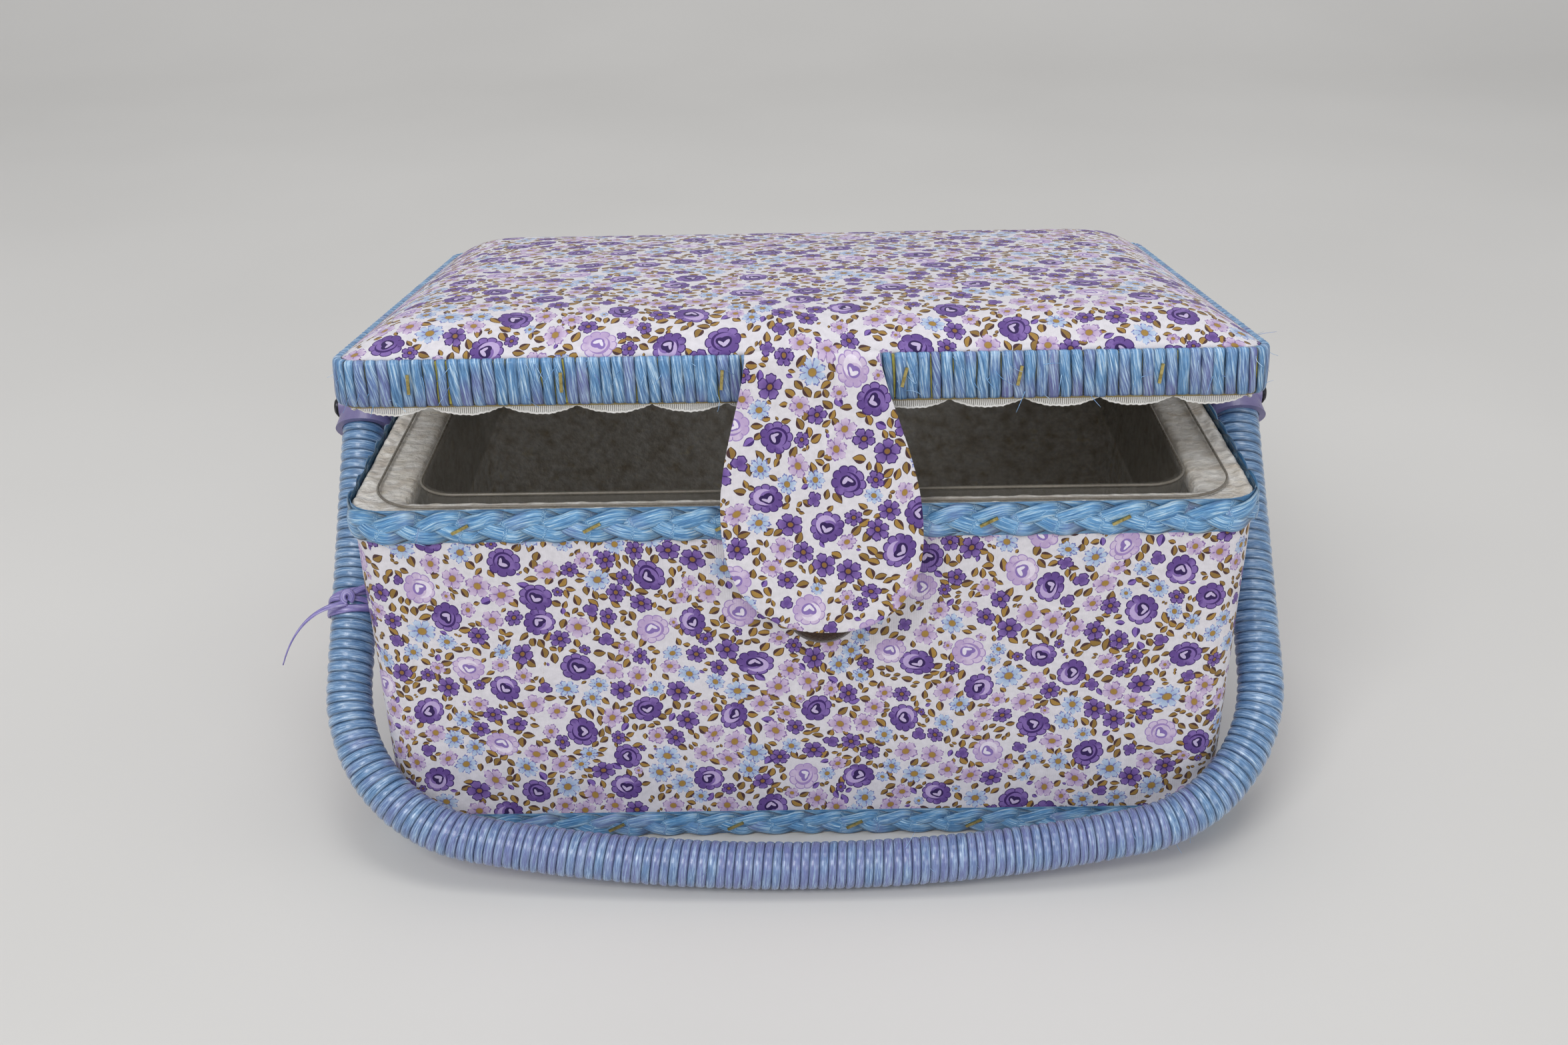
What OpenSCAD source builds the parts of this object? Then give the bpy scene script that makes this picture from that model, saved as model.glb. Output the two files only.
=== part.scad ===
/* [Body] */
// Outer width of the fabric-covered walls at the rim
body_w = 299; // [240:1:360]
// Outer depth of the fabric-covered walls at the rim
body_d = 212.5; // [170:0.5:280]
// Height of the rim braid's top edge above the floor
body_h = 135; // [125:0.5:200]
// Radius of the upright corners
body_r = 12.5; // [9:0.5:30]
// How far each side wall leans in from rim to floor
side_lean = 1.5; // [0:0.1:6]
// How far the front and back walls lean in from rim to floor
front_lean = 3; // [0:0.1:8]
// Thickness of the wall cardboard
board_t = 2.4; // [1.5:0.1:4]
// Thickness of the printed fabric
fabric_t = 0.7; // [0.4:0.1:1.2]
// Thickness of the base board
base_t = 3; // [2:0.1:6]

/* [Braids] */
// Height of the plaited band round the rim
rim_braid_h = 12.6; // [8:0.1:18]
// Height of the plaited band round the base
base_braid_h = 10.4; // [6:0.1:16]
// Thickness of both plaited bands
braid_t = 2.2; // [1.5:0.1:4]
// Distance between the staples of a plaited band
braid_staple_pitch = 43; // [30:1:70]
// Length of a staple's crown
staple_w = 6.4; // [4:0.1:10]
// Thickness of a staple's wire
staple_t = 0.6; // [0.4:0.1:1]

/* [Lining] */
// Thickness of the quilted lining on the walls
lining_t = 1.5; // [0.8:0.1:3]
// Thickness of the padded floor panel
floor_pad_t = 4; // [2:0.5:8]
// Height of the padded roll inside the rim
roll_h = 13; // [10:0.5:18]
// Height of the padding over the wall's top edge
roll_over = 4; // [3:0.1:7]

/* [Tray] */
// Distance from the wall's face to the tray's flange at the sides
tray_inset_x = 7; // [6:0.5:15]
// Distance from the wall's face to the tray's flange at the front and back
tray_inset_y = 4; // [4:0.5:12]
// Width of the tray's flange at the sides
flange_x = 13; // [8:0.5:20]
// Width of the tray's flange at the front and back
flange_y = 8.6; // [6:0.1:16]
// Depth of the tray below its flange
tray_depth = 36; // [20:1:60]
// Thickness of the tray's plastic
tray_t = 1.2; // [0.8:0.1:2]
// Radius of the tray's corners
tray_r = 14; // [8:0.5:24]

/* [Lid] */
// How far the wound rim stands out past the walls at the sides
lid_over_x = 0.5; // [-1:0.05:3]
// How far the wound rim stands out past the walls at the front and back
lid_over_y = -0.25; // [-1:0.05:0.5]
// Radius of the lid's corners
lid_r = 10; // [9:0.5:28]
// Height of the wound rim
lid_rim_h = 15.2; // [13:0.1:24]
// Gap from the rim braid to the closed lid's wound rim
lid_gap = 3.6; // [3:0.1:6]
// Distance that the lid is set back towards its hinges
lid_back = 1.2; // [0:0.1:1.8]
// Angle at which the lid stands ajar
lid_ajar = 8.2; // [0:0.1:30]
// Rise of the padded top above its edge
lid_crown = 9.5; // [4:0.5:20]
// Distance from one turn of the rim's winding to the next
rim_pitch = 3.7; // [2.5:0.1:6]
// Thickness of the flat core strip under the winding
hoop_t = 2; // [1.2:0.1:3]
// Distance from one lace scallop to the next
lace_pitch = 24; // [12:1:36]
// How far the lace hangs below the wound rim
lace_drop = 4; // [3:0.1:4.2]

/* [Flap] */
// Length of the closing flap from its fold to its tip
flap_len = 93; // [80:1:110]
// Width of the flap at its fold
flap_top_w = 42; // [30:1:60]
// Greatest width of the flap
flap_max_w = 65; // [50:1:80]
// How far the flap's fold stands to the right of the middle
flap_x = 3.6; // [-8:0.1:8]
// How much further to the right the flap's tip hangs
flap_skew = 4.4; // [-8:0.1:8]
// Thickness of the stiffened flap
flap_t = 2.6; // [1.6:0.1:4]
// Distance from the fold to the middle of the fastener patches
patch_drop = 61; // [50:1:68]
// Diameter of the fastener patches
patch_dia = 25; // [16:1:30]

/* [Handle] */
// Distance from the rim braid's top edge down to the handle's pivots
pivot_drop = 8; // [7:0.5:9]
// Distance from a side wall's face at the rim to the middle of the handle's leg
leg_gap = 18; // [16:0.5:30]
// How far each leg leans in along its straight length
leg_lean = 3.3; // [0:0.1:8]
// Straight length of each leg from its pivot
leg_len = 111; // [70:1:140]
// Bend radius of the handle's corners
bend_r = 59; // [40:0.5:90]
// Bend radius of the handle's bowed bar
bow_r = 640; // [400:10:2000]
// Outer radius of the wound handle
rod_r = 8.2; // [7:0.1:10]
// Radius of the handle's core
core_r = 5.9; // [4:0.1:6.2]
// Distance from one turn of the handle's winding to the next
wind_pitch = 3.95; // [3:0.05:6]
// Depth of the groove between two turns
wind_groove = 0.6; // [0.2:0.05:0.8]
// Radius of the pivot screws
screw_r = 2; // [1.5:0.1:3]

/* [Hinges] */
// Distance between the middles of the two lid hinges
hinge_span = 170; // [100:5:220]
// Width of a hinge
hinge_w = 26; // [18:1:40]
// Radius of a hinge's knuckle
knuckle_r = 1.7; // [1.4:0.1:2.5]
// Radius of a hinge pin
hinge_pin_r = 0.8; // [0.5:0.05:1]

/* [Hidden] */

// Clearance between pieces that move past each other
run_gap = 0.3;
// Clearance between soft or hard pieces that are fixed together
fit_gap = 0.05;
// Radial clearance of a pin or screw in the piece that turns on it
pin_gap = 0.05;
// Flat sides in a quarter turn of a rounded outline
corner_steps = 6;

wall_top = body_h - roll_over;
inner_inset = fabric_t + board_t;
lining_inset = inner_inset + lining_t;
roll_top = body_h - 0.8;
flange_z = roll_top - tray_t;
braid_face = body_d / 2 + braid_t;
lid_w = body_w + 2 * lid_over_x;
lid_d = body_d + 2 * lid_over_y;
lid_z = body_h + lid_gap;
pivot_h = body_h - pivot_drop;
leg_x = body_w / 2 + leg_gap;
nut_face = body_w / 2 - side_lean * (pivot_drop + 6) / body_h - inner_inset - fit_gap;
screw_tip_x = nut_face - 5;
washer_r = 2.1 * screw_r;
hinge_y = lid_back + lid_d / 2 + knuckle_r + 0.7;
hinge_z = body_h + lid_gap / 2;
leaf_t = 0.8;
raffia_t = 0.7;
rib_h = 0.5;
hoop_inset = raffia_t + rib_h;
skirt_inset = hoop_inset + hoop_t + fit_gap;
skirt_t = 2;
skirt_drop = 0.8;
panel_t = 2.5;
panel_top = lid_rim_h - 2.5;
lace_t = 0.7;
lace_rise = 4;
lace_scallop = 2.8;
lace_inset = skirt_inset + skirt_t + fit_gap;
fold_r = flap_t / 2;
fold_y = -(braid_face + staple_t + run_gap + fold_r);
fold_z = lid_z + lid_rim_h + 0.1 + fold_r;
patch_t = 1.2;
patch_x = flap_x + flap_skew * patch_drop / flap_len;

// Handle's centre line in its own plane: x across, y away from the pivots
leg_tilt = asin(leg_lean / leg_len);
leg_end = [leg_x - leg_lean, leg_len * cos(leg_tilt)];
bend_c = leg_end - bend_r * [cos(leg_tilt), sin(leg_tilt)];
bow_tilt = asin(bend_c[0] / (bow_r - bend_r));
bow_c = bend_c[1] - (bow_r - bend_r) * cos(bow_tilt);
reach = bow_c + bow_r;
bow_len = bow_r * bow_tilt * PI / 180;
bend_len = bend_r * (90 - bow_tilt - leg_tilt) * PI / 180;
half_len = bow_len + bend_len + leg_len;
handle_drop = asin((pivot_h - rod_r - 0.1) / reach);
socket_r = rod_r + 0.8;
skirt_r = rod_r + 2.5;
socket_top = 9;
socket_end = 10;
core_start = 3.2;
tie_at = 81;

// Rounded rectangle's corner points, anticlockwise, at height z
function ring(w, d, r, z) = [for (c = [0:3]) for (k = [0:corner_steps])
    let(a = 90 * c + 90 * k / corner_steps,
        sx = c == 0 || c == 3 ? 1 : -1, sy = c < 2 ? 1 : -1)
    [sx * (w / 2 - r) + r * cos(a), sy * (d / 2 - r) + r * sin(a), z]];
function flat(points) = [for (p = points) [p[0], p[1]]];

// Outline of the leaning wall, set in from its outer face, at height z
function wall_ring(ix, iy, z) = let(lean = (body_h - z) / body_h)
    ring(body_w - 2 * (ix + side_lean * lean), body_d - 2 * (iy + front_lean * lean),
        max(body_r - min(ix, iy), 2), z);
function lid_ring(inset, z) = ring(lid_w - 2 * inset, lid_d - 2 * inset,
    max(lid_r - inset, 3), z);

// Solid through a list of rings; a loop joins the last ring to the first
module loft(rings, loop = false) {
    n = len(rings[0]);
    last = len(rings) - 1;
    sides = [for (k = [0:loop ? last : last - 1]) for (i = [0:n - 1])
        let(a = n * k, b = n * ((k + 1) % (last + 1)), j = (i + 1) % n)
        each [[a + i, b + i, b + j], [a + i, b + j, a + j]]];
    ends = loop ? [] : [[for (i = [0:n - 1]) i], [for (i = [n - 1:-1:0]) last * n + i]];
    polyhedron([for (r = rings) each r], concat(sides, ends), convexity = 4);
}

// Puts closed-lid geometry where the lid stands ajar
module on_lid() {
    translate([0, hinge_y, hinge_z]) rotate([-lid_ajar, 0, 0])
        translate([0, -hinge_y, -hinge_z]) children();
}

// Puts geometry from the handle's own plane where the handle lies
module on_handle() {
    translate([0, 0, pivot_h]) rotate([180 + handle_drop, 0, 0]) children();
}

// Places along the back, between and outside the hinges, for staples on a side of a given width
function back_stops(w) = let(outer = (hinge_span / 2 + hinge_w / 2 + w / 2 - body_r) / 2)
    [-outer, -hinge_span / 4, 0, hinge_span / 4, outer];

// Repeats a staple along the four straight sides of a band
module staple_row(w, d, pitch, shift) {
    nx = floor((w - 2 * body_r) / pitch);
    ny = floor((d - 2 * body_r) / pitch);
    for (i = [0:nx - 1]) translate([(i - (nx - 1) / 2) * pitch + shift, -d / 2, 0]) children();
    for (x = back_stops(w)) translate([x, d / 2, 0]) rotate([0, 0, 180]) children();
    for (side = [-90, 90]) rotate([0, 0, side]) for (i = [0:ny - 1])
        translate([(i - (ny - 1) / 2) * pitch + shift, -w / 2, 0]) children();
}

// Staple's crown, seen from the front, turned by an angle
module staple(turn) {
    rotate([0, turn, 0]) translate([-staple_w / 2, -staple_t, -0.5])
        cube([staple_w, staple_t, 1]);
}

// Body

module base_board() {
    color("tan") linear_extrude(base_t) polygon(flat(wall_ring(fabric_t, fabric_t, 0)));
}

module pivot_bores(r) {
    translate([0, 0, pivot_h]) rotate([0, 90, 0])
        cylinder(r = r, h = 2 * body_w, center = true, $fn = 32);
}

// Tube that follows the leaning walls between two insets
module wall_tube(outer, inner, z0, z1) {
    loft([wall_ring(outer, outer, z0), wall_ring(outer, outer, z1),
        wall_ring(inner, inner, z1), wall_ring(inner, inner, z0)], loop = true);
}

module box_shell() {
    color("tan") difference() {
        wall_tube(fabric_t + fit_gap, inner_inset, base_t, wall_top);
        pivot_bores(screw_r + pin_gap);
    }
}

module body_cover() {
    color("lavender") difference() {
        wall_tube(0, fabric_t, 0.2, wall_top);
        pivot_bores(screw_r + pin_gap);
    }
}

// Plaited band with two rows of strands round the walls
module braid_band(z0, h) {
    lean = (body_h - z0 - h) / body_h;
    w = body_w - 2 * side_lean * lean + 2 * fit_gap;
    d = body_d - 2 * front_lean * lean + 2 * fit_gap;
    function band(u, z) = ring(w + 2 * u, d + 2 * u, body_r + u, z0 + z);
    lobes = [for (k = [0:8]) let(v = k / 8)
        band(braid_t * (0.6 + 0.4 * abs(sin(360 * v))), h * v)];
    loft(concat([band(0, 0)], lobes, [band(0, h)]), loop = true);
}

module base_braid() {
    color("steelblue") braid_band(0, base_braid_h);
}

module rim_braid() {
    color("steelblue") difference() {
        braid_band(body_h - rim_braid_h, rim_braid_h);
        pivot_bores(screw_r + pin_gap);
    }
}

module braid_staples(z0, h) {
    lean = (body_h - z0 - h) / body_h;
    t = braid_t + 2 * fit_gap;
    color("gold") translate([0, 0, z0 + h / 2])
        staple_row(body_w + 2 * (t - side_lean * lean), body_d + 2 * (t - front_lean * lean),
            braid_staple_pitch, -4) staple(-28);
}

module base_staples() {
    braid_staples(0, base_braid_h);
}

module rim_staples() {
    braid_staples(body_h - rim_braid_h, rim_braid_h);
}

module wall_lining() {
    color("antiquewhite")
        wall_tube(inner_inset + fit_gap, lining_inset, base_t, body_h - roll_h - 2);
}

module floor_lining() {
    inset = lining_inset + fit_gap;
    color("antiquewhite") loft([wall_ring(inset, inset, base_t),
        wall_ring(inset, inset, base_t + floor_pad_t - 1),
        wall_ring(inset + 1, inset + 1, base_t + floor_pad_t)]);
}

// Padded roll that is folded over the wall and the nuts, and carries the tray's flange
module rim_roll() {
    bottom = body_h - roll_h;
    edge_x = tray_inset_x + flange_x - 1;
    edge_y = tray_inset_y + flange_y - 0.9;
    seat = flange_z - fit_gap;
    step = 0.4;
    wall = inner_inset + fit_gap;
    color("antiquewhite") difference() {
        loft([wall_ring(fit_gap, fit_gap, wall_top + fit_gap),
            wall_ring(fit_gap, fit_gap, roll_top - 1),
            wall_ring(1.2, 1.2, roll_top),
            wall_ring(tray_inset_x - step - 1, tray_inset_y - step - 1, roll_top),
            wall_ring(tray_inset_x - step, tray_inset_y - step, roll_top - 0.4),
            wall_ring(tray_inset_x - step, tray_inset_y - step, seat),
            wall_ring(edge_x - 2, edge_y - 2, seat),
            wall_ring(edge_x - 0.4, edge_y - 0.4, seat - 1.5),
            wall_ring(edge_x, edge_y, seat - 4),
            wall_ring(edge_x - 1.5, edge_y - 1.5, bottom + 2),
            wall_ring(edge_x - 5, edge_y - 3, bottom),
            wall_ring(wall, wall, bottom),
            wall_ring(wall, wall, wall_top + fit_gap)], loop = true);
        pocket = screw_tip_x - 0.3;
        for (side = [0, 1]) mirror([side, 0, 0]) translate([pocket, 0, pivot_h]) rotate([0, 90, 0])
            cylinder(r = washer_r + 2 * fit_gap, h = body_w / 2 - wall - pocket, $fn = 32);
    }
}

// Tray's outline at its upright wall
function tray_ring(inset, z) = ring(
    body_w - 2 * (tray_inset_x + flange_x + inset),
    body_d - 2 * (tray_inset_y + flange_y + inset), tray_r, z);

module tray() {
    draft = 2;
    floor_z = flange_z - tray_depth;
    edge = ring(body_w - 2 * tray_inset_x, body_d - 2 * tray_inset_y, tray_r + 4, 0);
    function lift(points, z) = [for (p = points) [p[0], p[1], z]];
    color("whitesmoke", 0.4) loft([
        tray_ring(draft + 2, floor_z),
        tray_ring(draft, floor_z + 2),
        tray_ring(0, flange_z),
        lift(edge, flange_z),
        lift(edge, flange_z + tray_t),
        tray_ring(tray_t, flange_z + tray_t),
        tray_ring(draft + tray_t, floor_z + tray_t + 2),
        tray_ring(draft + tray_t + 2, floor_z + tray_t)]);
}

module body_patch() {
    z = fold_z - patch_drop;
    lean = (body_h - z) / body_h;
    color("#3c2a1c") translate([patch_x, -body_d / 2 + front_lean * lean - 2 * fit_gap, z])
        rotate([90 + atan(front_lean / body_h), 0, 0])
        cylinder(d = patch_dia, h = patch_t, $fn = 48);
}

// Knuckles of one hinge on its pin's axis, between two places along it
module knuckle(x0, x1) {
    translate([x0, hinge_y, hinge_z]) rotate([0, 90, 0]) difference() {
        cylinder(r = knuckle_r, h = x1 - x0, $fn = 24);
        translate([0, 0, -1]) cylinder(r = hinge_pin_r + pin_gap, h = x1 - x0 + 2, $fn = 24);
    }
}

module hinge_pair() {
    for (side = [-1, 1]) translate([side * hinge_span / 2, 0, 0]) children();
}

// Flat leaf with two rivet holes, hanging down from its top edge
module leaf(height) {
    difference() {
        translate([-hinge_w / 2, 0, -height]) cube([hinge_w, leaf_t, height]);
        for (x = [-1, 1]) translate([x * hinge_w / 4, -1, 3.5 - height])
            rotate([-90, 0, 0]) cylinder(r = 1.2, h = leaf_t + 2, $fn = 24);
    }
}

mid_knuckle = hinge_w / 3;
box_leaf_y = braid_face + fit_gap + 0.02;
lid_leaf_y = lid_back + lid_d / 2 + 0.1;
leaf_h = rim_braid_h - 1;

module box_hinge_leaves() {
    color("goldenrod") hinge_pair() difference() {
        union() {
            knuckle(-hinge_w / 2, -mid_knuckle / 2 - 0.2);
            knuckle(mid_knuckle / 2 + 0.2, hinge_w / 2);
            translate([0, box_leaf_y, hinge_z]) leaf(leaf_h + lid_gap / 2);
        }
        translate([-mid_knuckle / 2 - 0.2, hinge_y - 4, hinge_z - knuckle_r - run_gap])
            cube([mid_knuckle + 0.4, 8, 2 * knuckle_r + 1]);
        translate([-hinge_w, hinge_y, hinge_z]) rotate([0, 90, 0])
            cylinder(r = hinge_pin_r + pin_gap, h = 2 * hinge_w, $fn = 24);
    }
}

module hinge_pins() {
    color("darkgoldenrod") hinge_pair() translate([-hinge_w / 2, hinge_y, hinge_z])
        rotate([0, 90, 0]) cylinder(r = hinge_pin_r, h = hinge_w, $fn = 24);
}

// Two rivets with domed heads on a leaf's outer face
module rivets() {
    for (x = [-1, 1]) translate([x * hinge_w / 4, 0, 0]) rotate([-90, 0, 0]) {
        translate([0, 0, -leaf_t]) cylinder(r = 1.1, h = leaf_t, $fn = 24);
        intersection() {
            translate([0, 0, -1.2]) sphere(r = 2.4, $fn = 24);
            cylinder(r = 3, h = 3, $fn = 24);
        }
    }
}

module box_rivets() {
    color("gold") hinge_pair() translate([0, box_leaf_y + leaf_t, body_h - leaf_h + 3.5])
        rivets();
}

module pivot_screws() {
    head_x = leg_x + socket_r + run_gap;
    color("#2b2a2c") for (side = [0, 1]) mirror([side, 0, 0])
        translate([0, 0, pivot_h]) rotate([0, 90, 0]) {
            translate([0, 0, screw_tip_x])
                cylinder(r = screw_r, h = head_x - screw_tip_x + 0.2, $fn = 32);
            translate([0, 0, head_x]) cylinder(r = 2 * screw_r, h = screw_r * 0.6, $fn = 32);
            translate([0, 0, head_x + screw_r * 0.6])
                cylinder(r1 = 2 * screw_r, r2 = 1.4 * screw_r, h = screw_r * 0.5, $fn = 32);
        }
}

module pivot_nuts() {
    color("silver") for (side = [0, 1]) mirror([side, 0, 0])
        translate([0, 0, pivot_h]) rotate([0, 90, 0]) difference() {
            union() {
                translate([0, 0, nut_face - 0.8]) cylinder(r = washer_r, h = 0.8, $fn = 32);
                translate([0, 0, nut_face - 3.8]) cylinder(r = 1.9 * screw_r, h = 3.1, $fn = 6);
            }
            translate([0, 0, nut_face - 6]) cylinder(r = screw_r + 0.02, h = 8, $fn = 32);
        }
}

// Lid

module at_lid() {
    on_lid() translate([0, lid_back, lid_z]) children();
}

// Tube between two insets of the lid's outline
module lid_tube(outer, inner, z0, z1) {
    translate([0, 0, z0]) linear_extrude(z1 - z0) difference() {
        polygon(flat(lid_ring(outer, 0)));
        polygon(flat(lid_ring(inner, 0)));
    }
}

module lid_board() {
    color("tan") at_lid() {
        lid_tube(skirt_inset, skirt_inset + skirt_t, -skirt_drop, panel_top - panel_t);
        translate([0, 0, panel_top - panel_t]) linear_extrude(panel_t)
            polygon(flat(lid_ring(skirt_inset, 0)));
    }
}

module lid_hoop() {
    color("#8d8a45") at_lid() lid_tube(hoop_inset + fit_gap, hoop_inset + hoop_t,
        raffia_t + fit_gap, lid_rim_h - raffia_t - fit_gap);
}

// Point at distance s round the lid's outline, pushed out by a rib's height
function rim_at(s, out) =
    let(r = lid_r - rib_h, a = lid_w / 2 - lid_r, b = lid_d / 2 - lid_r, q = PI * r / 2,
        half = 2 * a + 2 * b + 2 * q, t = s % half, flip = s >= half ? -1 : 1,
        p = t < 2 * b ? [a + r + out, t - b]
            : t < 2 * b + q ? let(f = (t - 2 * b) / q * 90) [a, b] + (r + out) * [cos(f), sin(f)]
            : t < 2 * b + q + 2 * a ? [a - (t - 2 * b - q), b + r + out]
            : let(f = 90 + (t - 2 * b - q - 2 * a) / q * 90) [-a, b] + (r + out) * [cos(f), sin(f)])
    flip * p;

// Ribbed band: one rib for each turn of raffia round the hoop
module rim_winding() {
    r = lid_r - rib_h;
    around = 2 * (lid_w + lid_d - 4 * lid_r) + 2 * PI * r;
    turns = round(around / rim_pitch);
    ribs = [for (i = [0:turns - 1]) for (f = [[0, 0], [0.28, 1], [0.72, 1]])
        rim_at((i + f[0]) * around / turns, f[1] * rib_h)];
    color("cornflowerblue") at_lid() difference() {
        linear_extrude(lid_rim_h) polygon(ribs);
        translate([0, 0, raffia_t]) linear_extrude(lid_rim_h - 2 * raffia_t)
            polygon(flat(lid_ring(hoop_inset, 0)));
        translate([0, 0, -1]) linear_extrude(lid_rim_h + 2)
            polygon(flat(lid_ring(skirt_inset - 0.02, 0)));
    }
}

module lid_staples() {
    front = [[-0.413, 90], [-0.252, 90], [-0.083, 95], [0.109, 104], [0.23, 101], [0.378, 98]];
    color("gold") at_lid() translate([0, 0, lid_rim_h / 2]) {
        for (f = front) translate([lid_w * f[0], -lid_d / 2, 0]) staple(f[1]);
        for (x = back_stops(lid_w)) translate([x, lid_d / 2 + staple_t, 0]) staple(90);
        for (side = [-1, 1]) for (k = [-1.5:1.5])
            translate([side * lid_w / 2, k * lid_d * 0.217, 0])
                rotate([0, 0, side * 90]) staple(90);
    }
}

// Height of the padded top above its edge, at a distance in from the edge
function crown(e) = lid_crown * (0.8 * (1 - pow(1 - min(e, 38) / 38, 2.6)) + 0.2 * min(e, 80) / 80);
pad_steps = [0, 1.5, 4, 8, 14, 22, 34, 52, 80];

module lid_pad() {
    inset = skirt_inset + fabric_t + fit_gap;
    color("white") at_lid() loft(concat([lid_ring(inset, panel_top + fit_gap)],
        [for (e = pad_steps) lid_ring(inset + e, panel_top + 1.5 + crown(e))]));
}

module lid_cover() {
    inset = skirt_inset + fit_gap;
    under = inset + fabric_t;
    base = panel_top + fit_gap;
    rise = panel_top + 1.5 + fit_gap;
    inner = [for (k = [len(pad_steps) - 1:-1:0])
        lid_ring(under + pad_steps[k], rise + crown(pad_steps[k]))];
    outer = [for (e = pad_steps) lid_ring(inset + e, rise + fabric_t + crown(e))];
    color("lavender") at_lid()
        loft(concat(inner, [lid_ring(under, base), lid_ring(inset, base)], outer));
}

module lid_lining() {
    inset = lace_inset + lace_t + fit_gap;
    top = panel_top - panel_t - fit_gap;
    color("antiquewhite") at_lid() loft([lid_ring(inset + 20, top - 4.5),
        lid_ring(inset + 6, top - 4.2), lid_ring(inset + 1, top - 2.5),
        lid_ring(inset, top - 1), lid_ring(inset, top)]);
}

// Straight length of lace with a scalloped lower edge
module lace_side(length) {
    n = floor(length / lace_pitch);
    step = length / n;
    edge = [for (i = [0:8 * n]) let(f = (i % 8) / 8)
        [i * step / 8 - length / 2, -lace_drop + lace_scallop * pow(abs(2 * f - 1), 2)]];
    rotate([90, 0, 0]) linear_extrude(lace_t)
        polygon(concat(edge, [[length / 2, lace_rise], [-length / 2, lace_rise]]));
}

module lid_lace() {
    r = lid_r - lace_inset;
    a = lid_w / 2 - lid_r;
    b = lid_d / 2 - lid_r;
    color("ivory") at_lid() for (side = [0, 180]) rotate([0, 0, side]) {
        translate([0, -b - r + lace_t, 0]) lace_side(2 * a);
        rotate([0, 0, 90]) translate([0, -a - r + lace_t, 0]) lace_side(2 * b);
        for (c = [[a, b, 0], [-a, b, 90]])
            translate([c[0], c[1], lace_scallop - lace_drop]) rotate([0, 0, c[2]])
                rotate_extrude(angle = 90, $fn = 48) translate([r - lace_t, 0])
                    square([lace_t, lace_rise + lace_drop - lace_scallop]);
    }
}

module lid_hinge_leaves() {
    color("goldenrod") on_lid() hinge_pair() difference() {
        union() {
            knuckle(0.2 - mid_knuckle / 2, mid_knuckle / 2 - 0.2);
            translate([0, lid_leaf_y, hinge_z]) mirror([0, 0, 1]) leaf(leaf_h + lid_gap / 2);
            translate([0.2 - mid_knuckle / 2, lid_leaf_y, hinge_z - knuckle_r + 0.3])
                cube([mid_knuckle - 0.4, leaf_t, knuckle_r]);
        }
        for (side = [-1, 1]) translate([side * (hinge_w / 2 + 0.1) - hinge_w / 2 + side
            * (mid_knuckle / 2 - 0.3), hinge_y - 6, hinge_z - knuckle_r - 1])
            cube([hinge_w, 8, 2 * knuckle_r + 1.3]);
        translate([-hinge_w, hinge_y, hinge_z]) rotate([0, 90, 0])
            cylinder(r = hinge_pin_r + pin_gap, h = 2 * hinge_w, $fn = 24);
    }
}

module lid_rivets() {
    color("gold") on_lid() hinge_pair()
        translate([0, lid_leaf_y + leaf_t, hinge_z + leaf_h + lid_gap / 2 - 3.5]) rivets();
}

// Stitched strip that carries the flap over the wound rim
module flap_root() {
    back = lid_back - lid_d / 2 + 3;
    floor_z = lid_z + lid_rim_h + 0.1;
    color("lavender") on_lid() difference() {
        translate([flap_x - flap_top_w / 2, fold_y, floor_z])
            cube([flap_top_w, back - fold_y, flap_t]);
        translate([-flap_top_w, fold_y, fold_z]) rotate([0, 90, 0])
            cylinder(r = fold_r + run_gap, h = 2 * flap_top_w, $fn = 32);
        translate([-flap_top_w, fold_y - 5, floor_z - 1])
            cube([2 * flap_top_w, 5, flap_t + 2]);
        translate([-flap_top_w, fold_y, floor_z - 1])
            cube([2 * flap_top_w, fold_r + run_gap, fold_r + 1]);
    }
}

// Flap

// Half the flap's width at a distance down from its fold
widest_at = 0.6 * flap_len;
function flap_half(t) = t <= widest_at
    ? (flap_top_w + (flap_max_w - flap_top_w) * pow(sin(90 * t / widest_at), 1.4)) / 2
    : flap_max_w / 2 * pow(max(0, 1 - pow((t - widest_at) / (flap_len - widest_at), 2.5)), 0.45);
flap_stops = concat([for (k = [0:10]) k * widest_at / 10],
    [for (k = [1:12]) widest_at + (flap_len - widest_at) * sin(90 * k / 12)]);

module flap() {
    function edge(t, side) = [flap_x + flap_skew * t / flap_len + side * flap_half(t), -t];
    right = [for (t = flap_stops) edge(t, 1)];
    left = [for (k = [len(flap_stops) - 2:-1:0]) edge(flap_stops[k], -1)];
    color("lavender") on_lid() translate([0, fold_y, fold_z]) {
        translate([0, fold_r, 0]) rotate([90, 0, 0]) linear_extrude(flap_t)
            polygon(concat(right, left));
        translate([flap_x - flap_top_w / 2, 0, 0]) rotate([0, 90, 0])
            cylinder(r = fold_r, h = flap_top_w, $fn = 32);
    }
}

module flap_patch() {
    color("#3c2a1c") on_lid()
        translate([patch_x, fold_y + fold_r + fit_gap, fold_z - patch_drop]) rotate([-90, 0, 0]) cylinder(d = patch_dia - 1, h = 2 * patch_t, $fn = 48);
}

// Handle

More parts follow.
